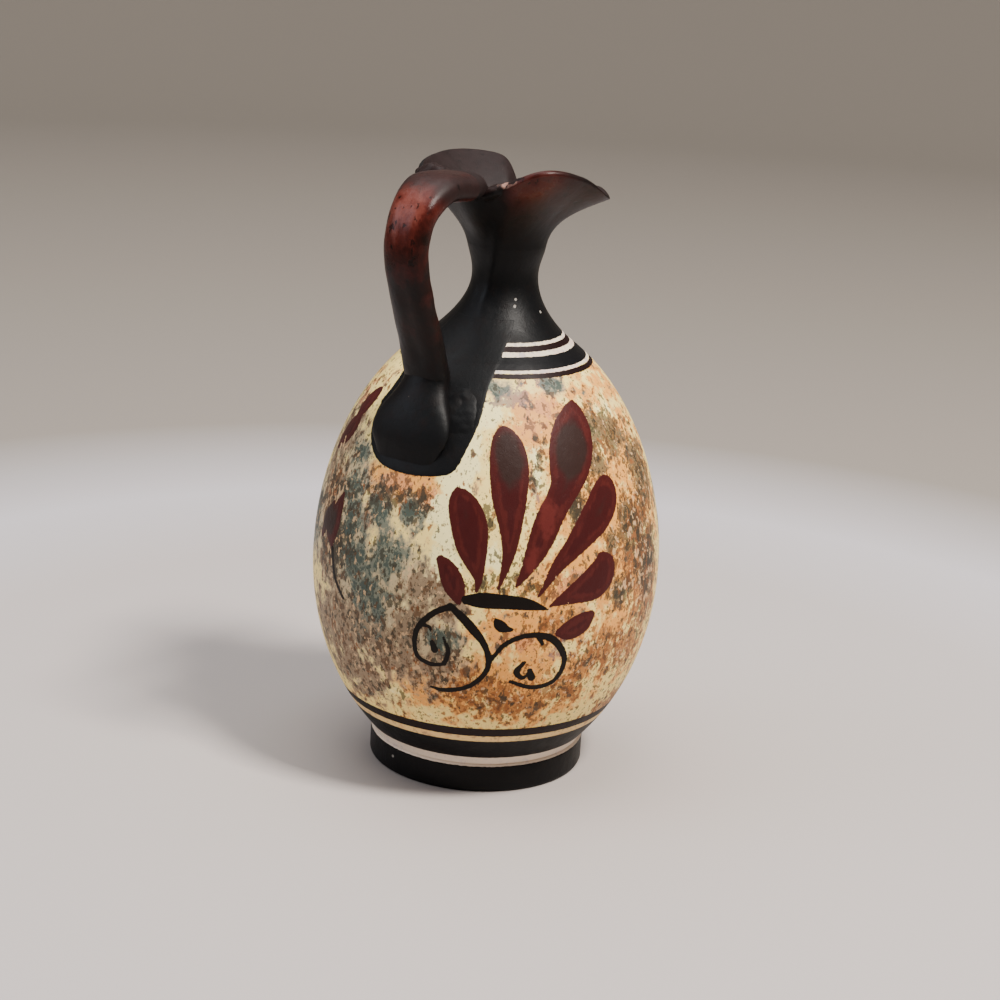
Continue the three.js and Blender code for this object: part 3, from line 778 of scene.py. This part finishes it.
def makeMouth(material):
    angles = np.linspace(-np.pi, np.pi, 481)[:-1]
    outside, lip, inside = mouthRings(angles)
    points = np.concatenate([withFold(outside), lip, inside])
    part = np.repeat([0, 1, 2], [len(outside), len(lip), len(inside)])[:, None]
    onLip, onInside = part == 1, part == 2
    # the funnel sags a little, unevenly
    sag = mouth["sag"] * (1 + swell(points, mouth["sagWave"], 5))
    sag = sag * smoothstep(points[..., 2], mouthSeat + 1, mouthSeat + 6)
    points = handMade(points)
    points[..., 2] -= sag
    z = points[..., 2]
    # the slip is black up to the fold, where the black also paints the shade under the handle's joint, and
    # browner past it, as far as the spout
    turn = foldTurn(points)
    browned = smoothstep(turn, *mouth["brownFrom"]) * (1 - smoothstep(turn, *mouth["brownUntil"]))
    fired, bloomed = mouth["firing"], mouth["bloom"]
    patch = np.minimum(sum(spot(points, *place) for place in mouth["redPatches"]), 1)
    firing = fired["black"] + fired["patch"] * patch + fired["lip"] * onLip
    rise = smoothstep(z, *mouth["brownRise"])
    firing = firing + (fired["browned"] + fired["brownedRim"] * rise) * browned
    firing = np.where(onInside, fired["inside"], firing) * smoothstep(z, mouthSeat, mouthSeat + 6)
    bloom = bloomed["browned"] * browned * smoothstep(z, mouthSeat, mouthSeat + 8)
    bloom = np.where(onInside, bloomed["inside"], np.where(onLip, bloomed["lip"], bloom))
    # pale wear in a spot on the lip, which also paints the lip's highlight
    wearAndGlint = 0.6 * spot(points, *mouth["wornGlintPatch"]) * onLip
    piece = makePiece("pinched_mouth", points, slipValues(points, firing, bloom, wearAndGlint), closeRows=True)
    dress(piece, "mouth_funnel", material)


# Handle: a strap pulled from a lump of clay, arched from the back of the rim to the shoulder

handle = dict(
    reach=29.6, bulgeDrop=9.6, archRise=1.3, width=8.9, splay=0.65, thickness=5.0, topWidth=9.8,
    topThickness=5.4, squareness=0.82, landingDrop=1.6, standOff=2.6, flare=0.5, flareEnd=0.36,
    arch=[(0.5, 0), (0.87, 0.36), (1, 1)], stem=[(0.72, 0.6), (0.27, 0.25)],
    grooveDepth=0.1, grooveMiddle=-0.12, grooveWidth=0.22, ripple=0.16,
    redPatch=((-31.0, 0.5, 112.0), 5.0), darkPatch=((-31.4, -1.6, 108.5), 2.8),
    archFrom=(97, 111), stemFrom=(80, 92), nearFlank=(2.6, 4.4), farFlank=(3.2, 4.6),
)
tongue = dict(length=2.8, inside=3.4, spread=7.8, dip=1.2, tip=1.3, sink=3.4, lumps=0.22)
# the two seams beside the tongue: the near one first, then the far one
seam = dict(start=(0.28, 0.5), hold=(0.3, 0.75), reach=(1.0, 1.2), thick=(1.35, 2.6), thin=0.35,
            # the worn spot on the near seam is pale wear that also paints its highlight
            inward=(0.9, 0.5), drop=(0.8, 1.3), lumps=0.22, wornGlintPatch=((-10.2, -7.0, 115.6), 1.0))
pad = dict(
    length=17.0, width=18.8, thickness=5.4, tipWidth=16.0, tipThickness=1.6, edge=1.08,
    shares=[0, 0.08, 0.22, 0.45, 0.72, 1.0], standOffs=[1.9, 0.9, 0.2, -0.75],
    fillet=1.1, filletReach=0.9,
)
# the two ridges of slip: the near one first, then the far one
slip = dict(width=(5.6, 4.0), thickness=(0.45, 0.2), length=(13.0, 10.0), drop=(7.2, 7.0), endWidth=2.0,
            sink=0.8, bumps=0.22)

rimBack = mouth["reach"][-1]
rimTop = mouthSeat + mouth["rise"][-1]
landingHeight = shoulderHeight - handle["landingDrop"]
handleTop = np.array([-(rimBack + tongue["length"]), 0, rimTop + handle["archRise"]])
landingX = -(bellyOuter(landingHeight) + handle["standOff"] + handle["thickness"] / 2)
handleLanding = np.array([landingX, 0, landingHeight])


def onHandle(end, outShare, downShare):
    # a place by its shares of the way from an end out to the reach and down or up to the bulge
    bulge = handleTop[2] - handle["bulgeDrop"]
    return np.array([end[0] + (-handle["reach"] - end[0]) * outShare, 0,
                     end[2] + (bulge - end[2]) * downShare])


def readCurve(points, shares):
    # centripetal Catmull-Rom: the tangents are weighted by the square roots of the spans
    points = np.asarray(points, float)
    spans = len(points) - 1
    place = np.clip(np.asarray(shares, float) * spans, 0, spans - 1e-9)
    index = np.floor(place).astype(int)
    t = (place - index)[:, None]
    ends = carriedOn(points)
    p, q, r, s = (ends[index + k] for k in range(4))
    first, middle, last = (np.sqrt(np.linalg.norm(b - a, axis=1))[:, None]
                           for a, b in ((p, q), (q, r), (r, s)))
    start = ((q - p) / first - (r - p) / (first + middle) + (r - q) / middle) * middle
    end = ((r - q) / middle - (s - q) / (middle + last) + (s - r) / last) * middle
    return (q * (2 * t ** 3 - 3 * t ** 2 + 1) + start * (t ** 3 - 2 * t ** 2 + t)
            + r * (3 * t ** 2 - 2 * t ** 3) + end * (t ** 3 - t ** 2))


def directions(centres):
    # the way along a route at each of its points
    return unit(np.gradient(centres, axis=0))


def strapLoops(centres, along, widths, thicknesses, turns, power=handle["squareness"],
               across=((0.0, 1.0, 0.0),)):
    # a rounded oval: across by cos^k and outward by sin^k, carried along the route; a power k
    # under 1 squares it and one over 1 gives it thin edges
    across = np.array(across)
    outward = unit(np.cross(across, along))
    c = np.sign(np.cos(turns)) * np.abs(np.cos(turns)) ** power
    s = np.sign(np.sin(turns)) * np.abs(np.sin(turns)) ** power
    return (centres[:, None] + across[:, None] * (widths[:, None] / 2 * c)[..., None]
            + outward[:, None] * (thicknesses[:, None] / 2 * s)[..., None])


def pushedOut(loops, centres, move):
    # every point moved away from the middle of its section
    return loops + unit(loops - centres[:, None]) * move[..., None]


def evenTurns(count, power=1.35):
    # turns round a section, spread so that its flat sides and its corners are both sampled
    steps = np.linspace(0, 1, count + 1)[:-1]
    quarter = (steps * 4) % 1
    eased = quarter ** power / (quarter ** power + (1 - quarter) ** power)
    return (np.floor(steps * 4) + eased) * np.pi / 2


handlePoints = [handleTop, *[onHandle(handleTop, *shares) for shares in handle["arch"]],
                *[onHandle(handleLanding, *shares) for shares in handle["stem"]], handleLanding]


def spread(values, shares):
    # a smooth curve through numbers at even steps, flat at both ends
    ends = np.array([values[0], *values, values[-1]], float)
    place = np.clip(np.asarray(shares, float), 0, 1 - 1e-9) * (len(values) - 1)
    index = np.floor(place).astype(int)
    return throughPoints(*(ends[index + k] for k in range(4)), place - index)


def flared(loops, share):
    # widens the left side of a strap, where its clay was smeared up against the rim
    widened = np.maximum(loops[..., 1], 0) * handle["flare"] * share[:, None]
    return loops + np.stack([0 * widened, widened, 0 * widened], -1)


def strapFiring(points):
    # redder high on the arch and along its middle, darker on its flanks, nearly black down the
    # stem
    y, z = points[..., 1], points[..., 2]
    rise = smoothstep(z, *handle["archFrom"])
    side = 1 - 0.5 * smoothstep(-y, *handle["nearFlank"]) - 0.35 * smoothstep(y, *handle["farFlank"])
    patches = 0.1 * spot(points, *handle["redPatch"]) - 0.18 * spot(points, *handle["darkPatch"])
    return (0.38 + 0.5 * rise * side + patches) * (0.3 + 0.7 * smoothstep(z, *handle["stemFrom"]))


def makeStrap(material):
    shares = np.linspace(0, 1, 260)
    centres = readCurve(handlePoints, shares)
    widths = spread([handle["topWidth"], handle["topWidth"], handle["width"], handle["width"],
                     handle["width"] + handle["splay"]], shares)
    thicknesses = spread([handle["topThickness"], handle["topThickness"], handle["thickness"],
                          handle["thickness"]], shares)
    turns = evenTurns(96)
    loops = strapLoops(centres, directions(centres), widths, thicknesses, turns)
    # a shallow groove down the outer face, and the ripples that pulling fingers leave
    groove = np.exp(-((np.cos(turns) - handle["grooveMiddle"]) / handle["grooveWidth"]) ** 2)
    groove = groove * (np.sin(turns) > 0)
    move = handle["ripple"] * (0.5 * swell(loops, 13, 8) + 0.3 * swell(loops, 4.5, 9))
    move = move - handle["grooveDepth"] * groove
    fade = smoothstep(shares, 0, 0.06) * smoothstep(1 - shares, 0, 0.05)
    loops = pushedOut(loops, centres, move * fade[:, None])
    loops = handMade(flared(loops, 1 - smoothstep(shares, 0, handle["flareEnd"])))
    bloom = 0.95 * smoothstep(loops[..., 2], 111.5, 115.5) * smoothstep(-loops[..., 0], 31, 24)
    piece = makePiece("pulled_strap", loops, slipValues(loops, strapFiring(loops), bloom))
    dress(piece, "strap_handle", material)


def makeTongue(material):
    # one cubic curve over the rim that sinks into the wall inside it
    ahead = -directions(readCurve(handlePoints, np.linspace(0, 0.02, 3)))[0]
    shares = np.linspace(0, 1, 70)
    overRim = np.array([-rimBack + tongue["inside"] * 0.75, 0, handleTop[2]])
    end = np.array([-rimBack + tongue["inside"] * 1.25, 0, rimTop - tongue["dip"] - tongue["sink"]])
    centres = bezier(handleTop, handleTop + ahead * tongue["length"] * 0.9, overRim, end, shares[:, None])
    along = directions(centres)
    along[0] = ahead
    top, wide = handle["topWidth"], tongue["spread"]
    thick = handle["topThickness"]
    widths = spread([top, top * 0.95, wide, wide, wide * 0.8], shares)
    thicknesses = spread([thick, thick, 0.7 * thick, 0.45 * thick, tongue["tip"] * 0.6], shares)
    loops = strapLoops(centres, along, widths, thicknesses, evenTurns(96))
    move = tongue["lumps"] * swell(loops, 5.5, 12) * smoothstep(shares, 0, 0.3)[:, None]
    loops = handMade(flared(pushedOut(loops, centres, move), np.ones_like(shares)))
    # redder where it leaves the strap, bloomed on top, and nearly black beneath, which is painted shade
    # under the tongue
    firing = 0.4 - 0.2 * smoothstep(shares, 0.3, 0.9)[:, None]
    under = smoothstep(-(loops - centres[:, None])[..., 2], 0, 2)
    values = slipValues(loops, firing * (1 - 0.7 * under), 0.95 * (1 - under))
    piece = makePiece("thumbed_tongue", loops, values)
    dress(piece, "handle_tongue", material)


def makeSeam(flank, material):
    # a roll of clay smeared along the rim from the tongue: a round section that thins as it
    # goes, lumpy where the thumb pressed it down
    far = flank == "left"
    start, hold, reach, thick, inward, drop = (seam[label][far] for label in
                                               ("start", "hold", "reach", "thick", "inward", "drop"))
    turn = np.linspace(start, reach, 90)
    centres = rimPoint((1 if far else -1) * (np.pi - turn), inward, drop)
    along = directions(centres)
    level = unit(np.cross(along, (0.0, 0.0, 1.0)))
    rise = np.cross(level, along)
    radii = seam["thin"] + (thick - seam["thin"]) * (1 - smoothstep(turn, hold, reach))
    angles = np.linspace(0, 2 * np.pi, 41)[:-1, None]
    ways = np.cos(angles) * level[:, None] + np.sin(angles) * rise[:, None]
    loops = centres[:, None] + radii[:, None, None] * ways
    loops += ways * (seam["lumps"] * (swell(loops, 3.2, 31) + 0.6 * swell(loops, 1.4, 32)))[..., None]
    loops = handMade(loops)
    # redder and bloomed on top, and nearly black beneath, which is painted shade under the roll of clay
    top = smoothstep((loops - centres[:, None])[..., 2], -0.2, 0.6)
    # on the near seam, pale wear along its top and in a spot, which also paints its highlight
    wearAndGlint = 0.0 if far else 0.2 * top + 0.8 * spot(loops, *seam["wornGlintPatch"])
    piece = makePiece("smeared_seam_" + flank, loops, slipValues(loops, 0.1 + 0.4 * top, 0.8 * top, wearAndGlint))
    dress(piece, "handle_tongue", material)


def padWidthAt(share):
    # as wide as the strap at first, widest at 0.72 of the way down and narrower at the tip
    root = handle["width"] + handle["splay"]
    wide = root + (pad["width"] - root) * smoothstep(share, 0.1, 0.72)
    return wide + (pad["tipWidth"] - wide) * smoothstep(share, 0.72, 1.0)


def makePad(material):
    # the strap's section carried down over the shoulder, wider and thinner as it goes
    landingAlong = directions(readCurve(handlePoints, np.linspace(0.98, 1, 3)))[-1]
    heights = landingHeight - pad["length"] * np.array(pad["shares"][2:])
    lower = [np.array([-(bellyOuter(z) + off), 0, z]) for z, off in zip(heights, pad["standOffs"])]
    route = [handleLanding, handleLanding + landingAlong * pad["length"] * pad["shares"][1], *lower]
    shares = np.linspace(0, 1, 120)
    centres = readCurve(route, shares)
    along = directions(centres)
    along[0] = landingAlong
    widths = padWidthAt(spread(pad["shares"], shares))
    thick = pad["thickness"]
    thicknesses = spread([handle["thickness"], thick, thick, thick, thick * 0.8, pad["tipThickness"]],
                         shares)
    # the tip closes as a rounded end, and the edges grow thin on the way to it
    close = np.sqrt(np.clip(1 - ((shares - 0.5) / 0.5).clip(0, 1) ** 2.2, 0, 1))
    power = handle["squareness"] + (pad["edge"] - handle["squareness"]) * smoothstep(shares, 0.05, 0.4)
    loops = strapLoops(centres, along, widths * (0.2 + 0.8 * close), thicknesses * (0.6 + 0.4 * close),
                       evenTurns(96), power[:, None])
    # clay drawn out into a hollow fillet where the pad meets the belly
    above = np.hypot(loops[..., 0], loops[..., 1]) - bellyOuter(np.minimum(loops[..., 2], shoulderHeight))
    drawn = pad["fillet"] * np.exp(-np.maximum(above, 0) / pad["filletReach"])
    drawn = drawn * smoothstep(shares, 0.1, 0.4)[:, None]
    loops[..., 1] += np.sign(loops[..., 1]) * drawn * smoothstep(np.abs(loops[..., 1]), 1.5, 3.5)
    loops[..., 2] -= 0.8 * drawn * smoothstep(shares, 0.75, 1)[:, None]
    loops = handMade(loops)
    firing = 0.16 * smoothstep(loops[..., 2], 70, 83)
    piece = makePiece("thumbed_pad", loops, slipValues(loops, firing))
    dress(piece, "root_pad", material)


def makeRootSlip(flank, material):
    # a ridge of thick slip squeezed out beside the pad, lumpy and thin at its ends
    far = flank == "left"
    width, thickness, length, drop = (slip[label][far] for label in
                                      ("width", "thickness", "length", "drop"))
    route = []
    for share in (-0.5, 0, 0.5):
        height = landingHeight - drop - length * share
        down = max((landingHeight - height) / pad["length"], 0)
        sideways = (padWidthAt(down) + 0.3 * width) / 2
        reach = bellyOuter(min(height, shoulderHeight)) - slip["sink"] * (2 * share) ** 2
        route.append([-math.sqrt(reach ** 2 - sideways ** 2), sideways if far else -sideways, height])
    shares = np.linspace(0, 1, 80)
    centres = readCurve(route, shares)
    widths = spread([slip["endWidth"], width, width, slip["endWidth"]], shares)
    # laid flat on the belly: across runs level round the jug, (sin, -cos) of the azimuth
    azimuth = np.arctan2(centres[:, 1], centres[:, 0])
    level = np.stack([np.sin(azimuth), -np.cos(azimuth), 0 * azimuth], -1)
    thicknesses = np.full(len(shares), 2 * thickness)
    loops = strapLoops(centres, directions(centres), widths, thicknesses, evenTurns(48), 1.0, level)
    move = slip["bumps"] * (0.5 * swell(loops, 3.2, 21) + 0.5 * swell(loops, 1.5, 22))
    loops = handMade(pushedOut(loops, centres, move))
    piece = makePiece("squeezed_slip_" + flank, loops, slipValues(loops, 0.0))
    dress(piece, "root_slip_" + flank, material)


# Materials

# noises, each by the size of its blobs in mm, its detail, its stretch and its shift
noises = dict(
    broad=(7.0, 3, (1, 1, 1), (0, 0, 0)), patchy=(3.0, 5, (1, 1, 0.8), (13, 5, 2)),
    mottle=(1.6, 4, (1, 1, 0.7), (3, 31, 7)), fleck=(1.25, 3, (1, 1, 0.65), (51, 12, 23)),
    crumb=(1.1, 3, (1, 1, 0.7), (8, 44, 29)), pepper=(0.55, 3, (1, 1, 0.8), (41, 3, 17)),
    fine=(0.2, 3, (1, 1, 1), (5, 5, 5)), wander=(0.7, 2, (1, 1, 1), (9, 2, 5)),
    streak=(2.4, 2, (1.8, 1.8, 0.4), (7, 7, 7)),
)


def noiseFields(tree, wanted):
    # object coordinates in mm, stretched and shifted; each noise is brought to about -1 to 1
    place = addNode(tree, "TexCoord", out=3)
    place = addNode(tree, "Mapping", {"Vector": place, "Scale": (1 / mm, 1 / mm, 1 / mm)})
    fields = dict(height=addNode(tree, "SeparateXYZ", {0: place}, out=2))
    for name in wanted:
        size, detail, stretch, shift = noises[name]
        moved = addNode(tree, "Mapping", {"Vector": place, "Scale": stretch, "Location": shift})
        settings = {"Vector": moved, "Scale": 1 / size, "Detail": detail, "Roughness": 0.6}
        noise = addNode(tree, "TexNoise", settings)
        fields[name] = addNode(tree, "Math", {0: noise, 1: 4.0, 2: -2.0}, operation="MULTIPLY_ADD")
    return fields


def addUp(tree, fields, terms, base=0.0):
    # a constant plus each named field times its weight
    total = base
    for name, weight in terms.items():
        total = addNode(tree, "Math", {0: fields[name], 1: weight, 2: total}, operation="MULTIPLY_ADD")
    return total


def paintOver(tree, fields, under, layers, colours):
    # each layer covers what is under it where its sum of fields rises from low to high, up to
    # its strength; the cover stays as a field, and a layer that has no colour leaves only that
    for name, terms, low, high, strength in layers:
        ranges = {"Value": addUp(tree, fields, terms), "From Min": low, "From Max": high, "To Max": strength}
        cover = addNode(tree, "MapRange", ranges, interpolation_type="SMOOTHSTEP")
        fields[name + "Cover"] = cover
        if name in colours:
            under = addNode(tree, "Mix", {0: cover, 6: under, 7: colours[name]}, out=2, data_type="RGBA")
    return under


# Iron slip by how red it was fired: black where it had no air, through brown, to brick red
slipRamp = [(0.0, 0x0b0c0e), (0.22, 0x0f0a0a), (0.42, 0x190b09), (0.6, 0x30110e), (0.78, 0x4a1d18),
            (1.0, 0x6a372f)]


def slipTint(tree, fields, firing):
    # the ramp's colour at how red the slip was fired, made a little uneven
    uneven = addUp(tree, fields, dict(patchy=0.16, mottle=0.12), firing)
    return addNode(tree, "ValToRGB", {0: uneven}, stops=[(place, linear(code)) for place, code in slipRamp])


# Brushed rings: height from, height to and colour
rings = [(-1.0, 5.35, 0x0b0b0d), (7.55, 12.5, 0x0b0b0d), (13.95, 15.95, 0x160808), (81.25, 82.0, 0x1a0a0a),
         (82.5, 84.45, 0x0c0c0f), (85.15, 86.0, 0x1a0a0a)]
paint = dict(
    cream=0xfbe08a, light=0xfff4b4, haze=0xb4a285, warm=0xea9c48, peach=0xdb9260, orange=0xb27640,
    sand=0xe0b888, brown=0x85705a, olive=0x625a46, plum=0x84696a, teal=0x606d63, tealDeep=0x3c4943,
    rust=0x92582f, umber=0x5a3d26, dark=0x35332a, ash=0xe6dedc,
    petal=0x411716, petalGlint=0x56231f, petalHeart=0x371213, petalDusk=0x2b201d, petalFresh=0x5c2522,
    stroke=0x0d0805, chip=0x96928c,
)
# Layers of paint from the ground up: name, the weights of the fields that it goes by, the sums
# where it begins and where it is full, and its strength; a height of weight -1 covers below it
groundLayers = [
    ("light", dict(patchy=-0.7, broad=-0.4, bright=1.1), 0.40, 0.80, 0.8),
    ("warm", dict(patchy=0.8, broad=0.4, mottle=0.5, tan=1.1, peach=0.4, bright=-0.5), 0.15, 0.75, 0.9),
    ("haze", dict(teal=1.2, brown=1.0, patchy=0.5, mottle=0.3), 0.15, 0.70, 0.85),
    ("peach", dict(peach=1.3, patchy=0.7, mottle=0.7), 0.75, 1.00, 0.8),
    ("orange", dict(orange=1.2, patchy=0.7, mottle=0.7), 0.55, 0.85, 0.85),
    ("brown", dict(brown=1.3, patchy=0.7, mottle=0.8), 0.40, 0.90, 0.85),
    ("olive", dict(olive=1.2, patchy=0.6, fleck=0.9), 0.55, 0.85, 0.85),
    ("plum", dict(plum=1.4, patchy=0.5, mottle=0.8), 0.80, 1.05, 0.75),
    ("teal", dict(teal=1.3, patchy=0.7, mottle=0.8), 0.40, 0.90, 0.85),
    ("tealDeep", dict(teal=1.1, fleck=1.1, patchy=0.5), 0.95, 1.20, 0.8),
    ("rust", dict(fleck=1.0, orange=0.5, tan=0.1, teal=-0.4, bright=-0.2, shade=0.3), 0.50, 0.66, 0.8),
    ("umber", dict(mottle=1.0, brown=0.4, orange=0.3, olive=0.3, peach=0.3, shade=0.5, tan=0.1),
     0.50, 0.66, 0.75),
    ("dark", dict(fleck=-1.0, olive=0.6, teal=0.3, orange=0.25, shade=0.6, brown=0.2), 0.50, 0.64, 0.8),
    ("dark", dict(pepper=1.0, brown=0.25, orange=0.25, olive=0.25, shade=0.3), 0.58, 0.70, 0.7),
    ("sand", dict(crumb=1.0, brown=0.25, orange=0.3, olive=0.2, teal=0.1), 0.60, 0.80, 0.7),
    ("ash", dict(height=1.0, patchy=0.3), 81.8, 82.2, 0.65),
    ("sand", dict(height=-1.0, mottle=0.5), -14.6, -14.0, 0.6),
    ("ash", dict(height=-1.0, patchy=0.3), -8.4, -8.0, 0.65),
]
brushLayers = [
    ("rubbed", dict(worn=0.9, crumb=1.0), 0.95, 1.1, 1.0),
    ("petal", dict(petalDepth=1.0, wander=0.1, rubbedCover=-3.0), -0.06, 0.06, 1.0),
    ("petalGlint", dict(petalDepth=1.0, wander=0.3, streak=-0.6, broad=-0.4, rubbedCover=-3.0),
     0.9, 1.3, 0.35),
    ("petalHeart", dict(petalDepth=1.0, broad=0.5, streak=0.5, rubbedCover=-3.0), 1.2, 1.9, 0.85),
    ("petalDusk", dict(petalDepth=0.3, dusk=1.6, broad=0.4, rubbedCover=-3.0), 0.9, 1.7, 0.85),
    ("petalFresh", dict(petalDepth=0.15, fresh=1.5, mottle=0.4, rubbedCover=-3.0), 0.8, 1.4, 0.8),
    ("stroke", dict(strokeDepth=1.0, wander=0.07), -0.05, 0.05, 1.0),
]
slipLayers = [
    ("slip", dict(slipDepth=1.0, wander=0.1), -0.05, 0.05, 1.0),
    ("neckSlip", dict(height=1.0, wander=0.08), 86.46, 86.56, 1.0),
    ("chip", dict(chips=1.0, pepper=0.3), 0.45, 0.6, 1.0),
]


def paintedClay():
    # slip-painted earthenware under a thin varnish: a pale ground mottled like old stone, with
    # brushed maroon petals, black slip and a soft sheen; its flecks are 0.5 to 2 mm across
    material, tree = newMaterial("slipPaintedEarthenware")
    fields = noiseFields(tree, noises)
    for name in (*clouds, "petalDepth", "strokeDepth", "slipDepth", "chips"):
        fields[name] = addNode(tree, "Attribute", out=2, attribute_name=name)
    colours = {name: linear(code) for name, code in paint.items()}
    colours["slip"] = colours["neckSlip"] = slipTint(tree, fields, 0.0)
    painted = paintOver(tree, fields, colours["cream"], groundLayers, colours)
    painted = paintOver(tree, fields, painted, brushLayers, colours)
    level = addUp(tree, fields, dict(height=1.0, wander=0.06))
    fields["ringCover"] = 0.0
    for low, high, code in rings:
        span = {0: level, 1: (low + high) / 2, 2: (high - low) / 2}
        cover = addNode(tree, "Math", span, operation="COMPARE")
        painted = addNode(tree, "Mix", {0: cover, 6: painted, 7: linear(code)}, out=2, data_type="RGBA")
        fields["ringCover"] = addNode(tree, "Math", {0: fields["ringCover"], 1: cover}, operation="MAXIMUM")
    painted = paintOver(tree, fields, painted, slipLayers, colours)
    fields["black"] = addNode(tree, "Math", {0: fields["slipCover"], 1: fields["ringCover"]},
                              operation="MAXIMUM")
    relief = addUp(tree, fields, dict(black=0.03, petalCover=0.03, strokeCover=0.03, fine=0.006,
                                      patchy=0.03, mottle=0.01, umberCover=-0.02, chipCover=-0.1))
    roughness = addUp(tree, fields, dict(black=0.03, patchy=0.05, mottle=0.03), 0.45)
    finishMaterial(tree, painted, relief, roughness)
    return material


# worn is the pale wear, which also paints the highlight on the lip and the near seam
slipColours = dict(bloomed=0x211818, speck=0x0c0706, paleSpeck=0x8f7f74, worn=0xa07a6c)
polishLayers = [
    ("bloomed", dict(bloom=1.0, patchy=0.3, mottle=0.25), 0.15, 0.95, 0.9),
    ("speck", dict(fleck=1.0, firing=0.2), 0.66, 0.82, 0.75),
    ("paleSpeck", dict(crumb=1.0), 1.0, 1.12, 0.6),
    # pale wear, which on the lip and the near seam also paints their highlight
    ("worn", dict(wearAndGlint=1.0, mottle=0.3), 0.35, 0.75, 0.8),
]


def ironSlip(name):
    # iron-rich slip, rubbed smooth before firing: black where the fire had no air and brick red
    # where it did, with fired-in specks of 1 mm, a thin mauve bloom and a hard gloss
    material, tree = newMaterial(name)
    fields = noiseFields(tree, ("patchy", "mottle", "fleck", "crumb", "fine"))
    for label in ("firing", "bloom", "wearAndGlint"):
        fields[label] = addNode(tree, "Attribute", out=2, attribute_name=label)
    colours = {label: linear(code) for label, code in slipColours.items()}
    tint = paintOver(tree, fields, slipTint(tree, fields, fields["firing"]), polishLayers, colours)
    relief = addUp(tree, fields, dict(fine=0.006, patchy=0.03, mottle=0.01, speckCover=-0.02), 0.03)
    roughness = addUp(tree, fields, dict(firing=-0.42, bloom=0.28, patchy=0.05, mottle=0.03), 0.52)
    finishMaterial(tree, tint, relief, roughness)
    return material


clay = paintedClay()
redSlip = ironSlip("rubbedRedSlip")
blackSlip = ironSlip("rubbedBlackSlip")
print("materials mixed")

makeFoot(clay)
makeBelly(clay)
makeNeck(clay)
print("foot, belly and neck thrown")
makeMouth(redSlip)
makeStrap(redSlip)
makeTongue(redSlip)
makeSeam("right", redSlip)
makeSeam("left", redSlip)
print("mouth and handle pulled")
makePad(blackSlip)
makeRootSlip("right", blackSlip)
makeRootSlip("left", blackSlip)
print("handle luted")
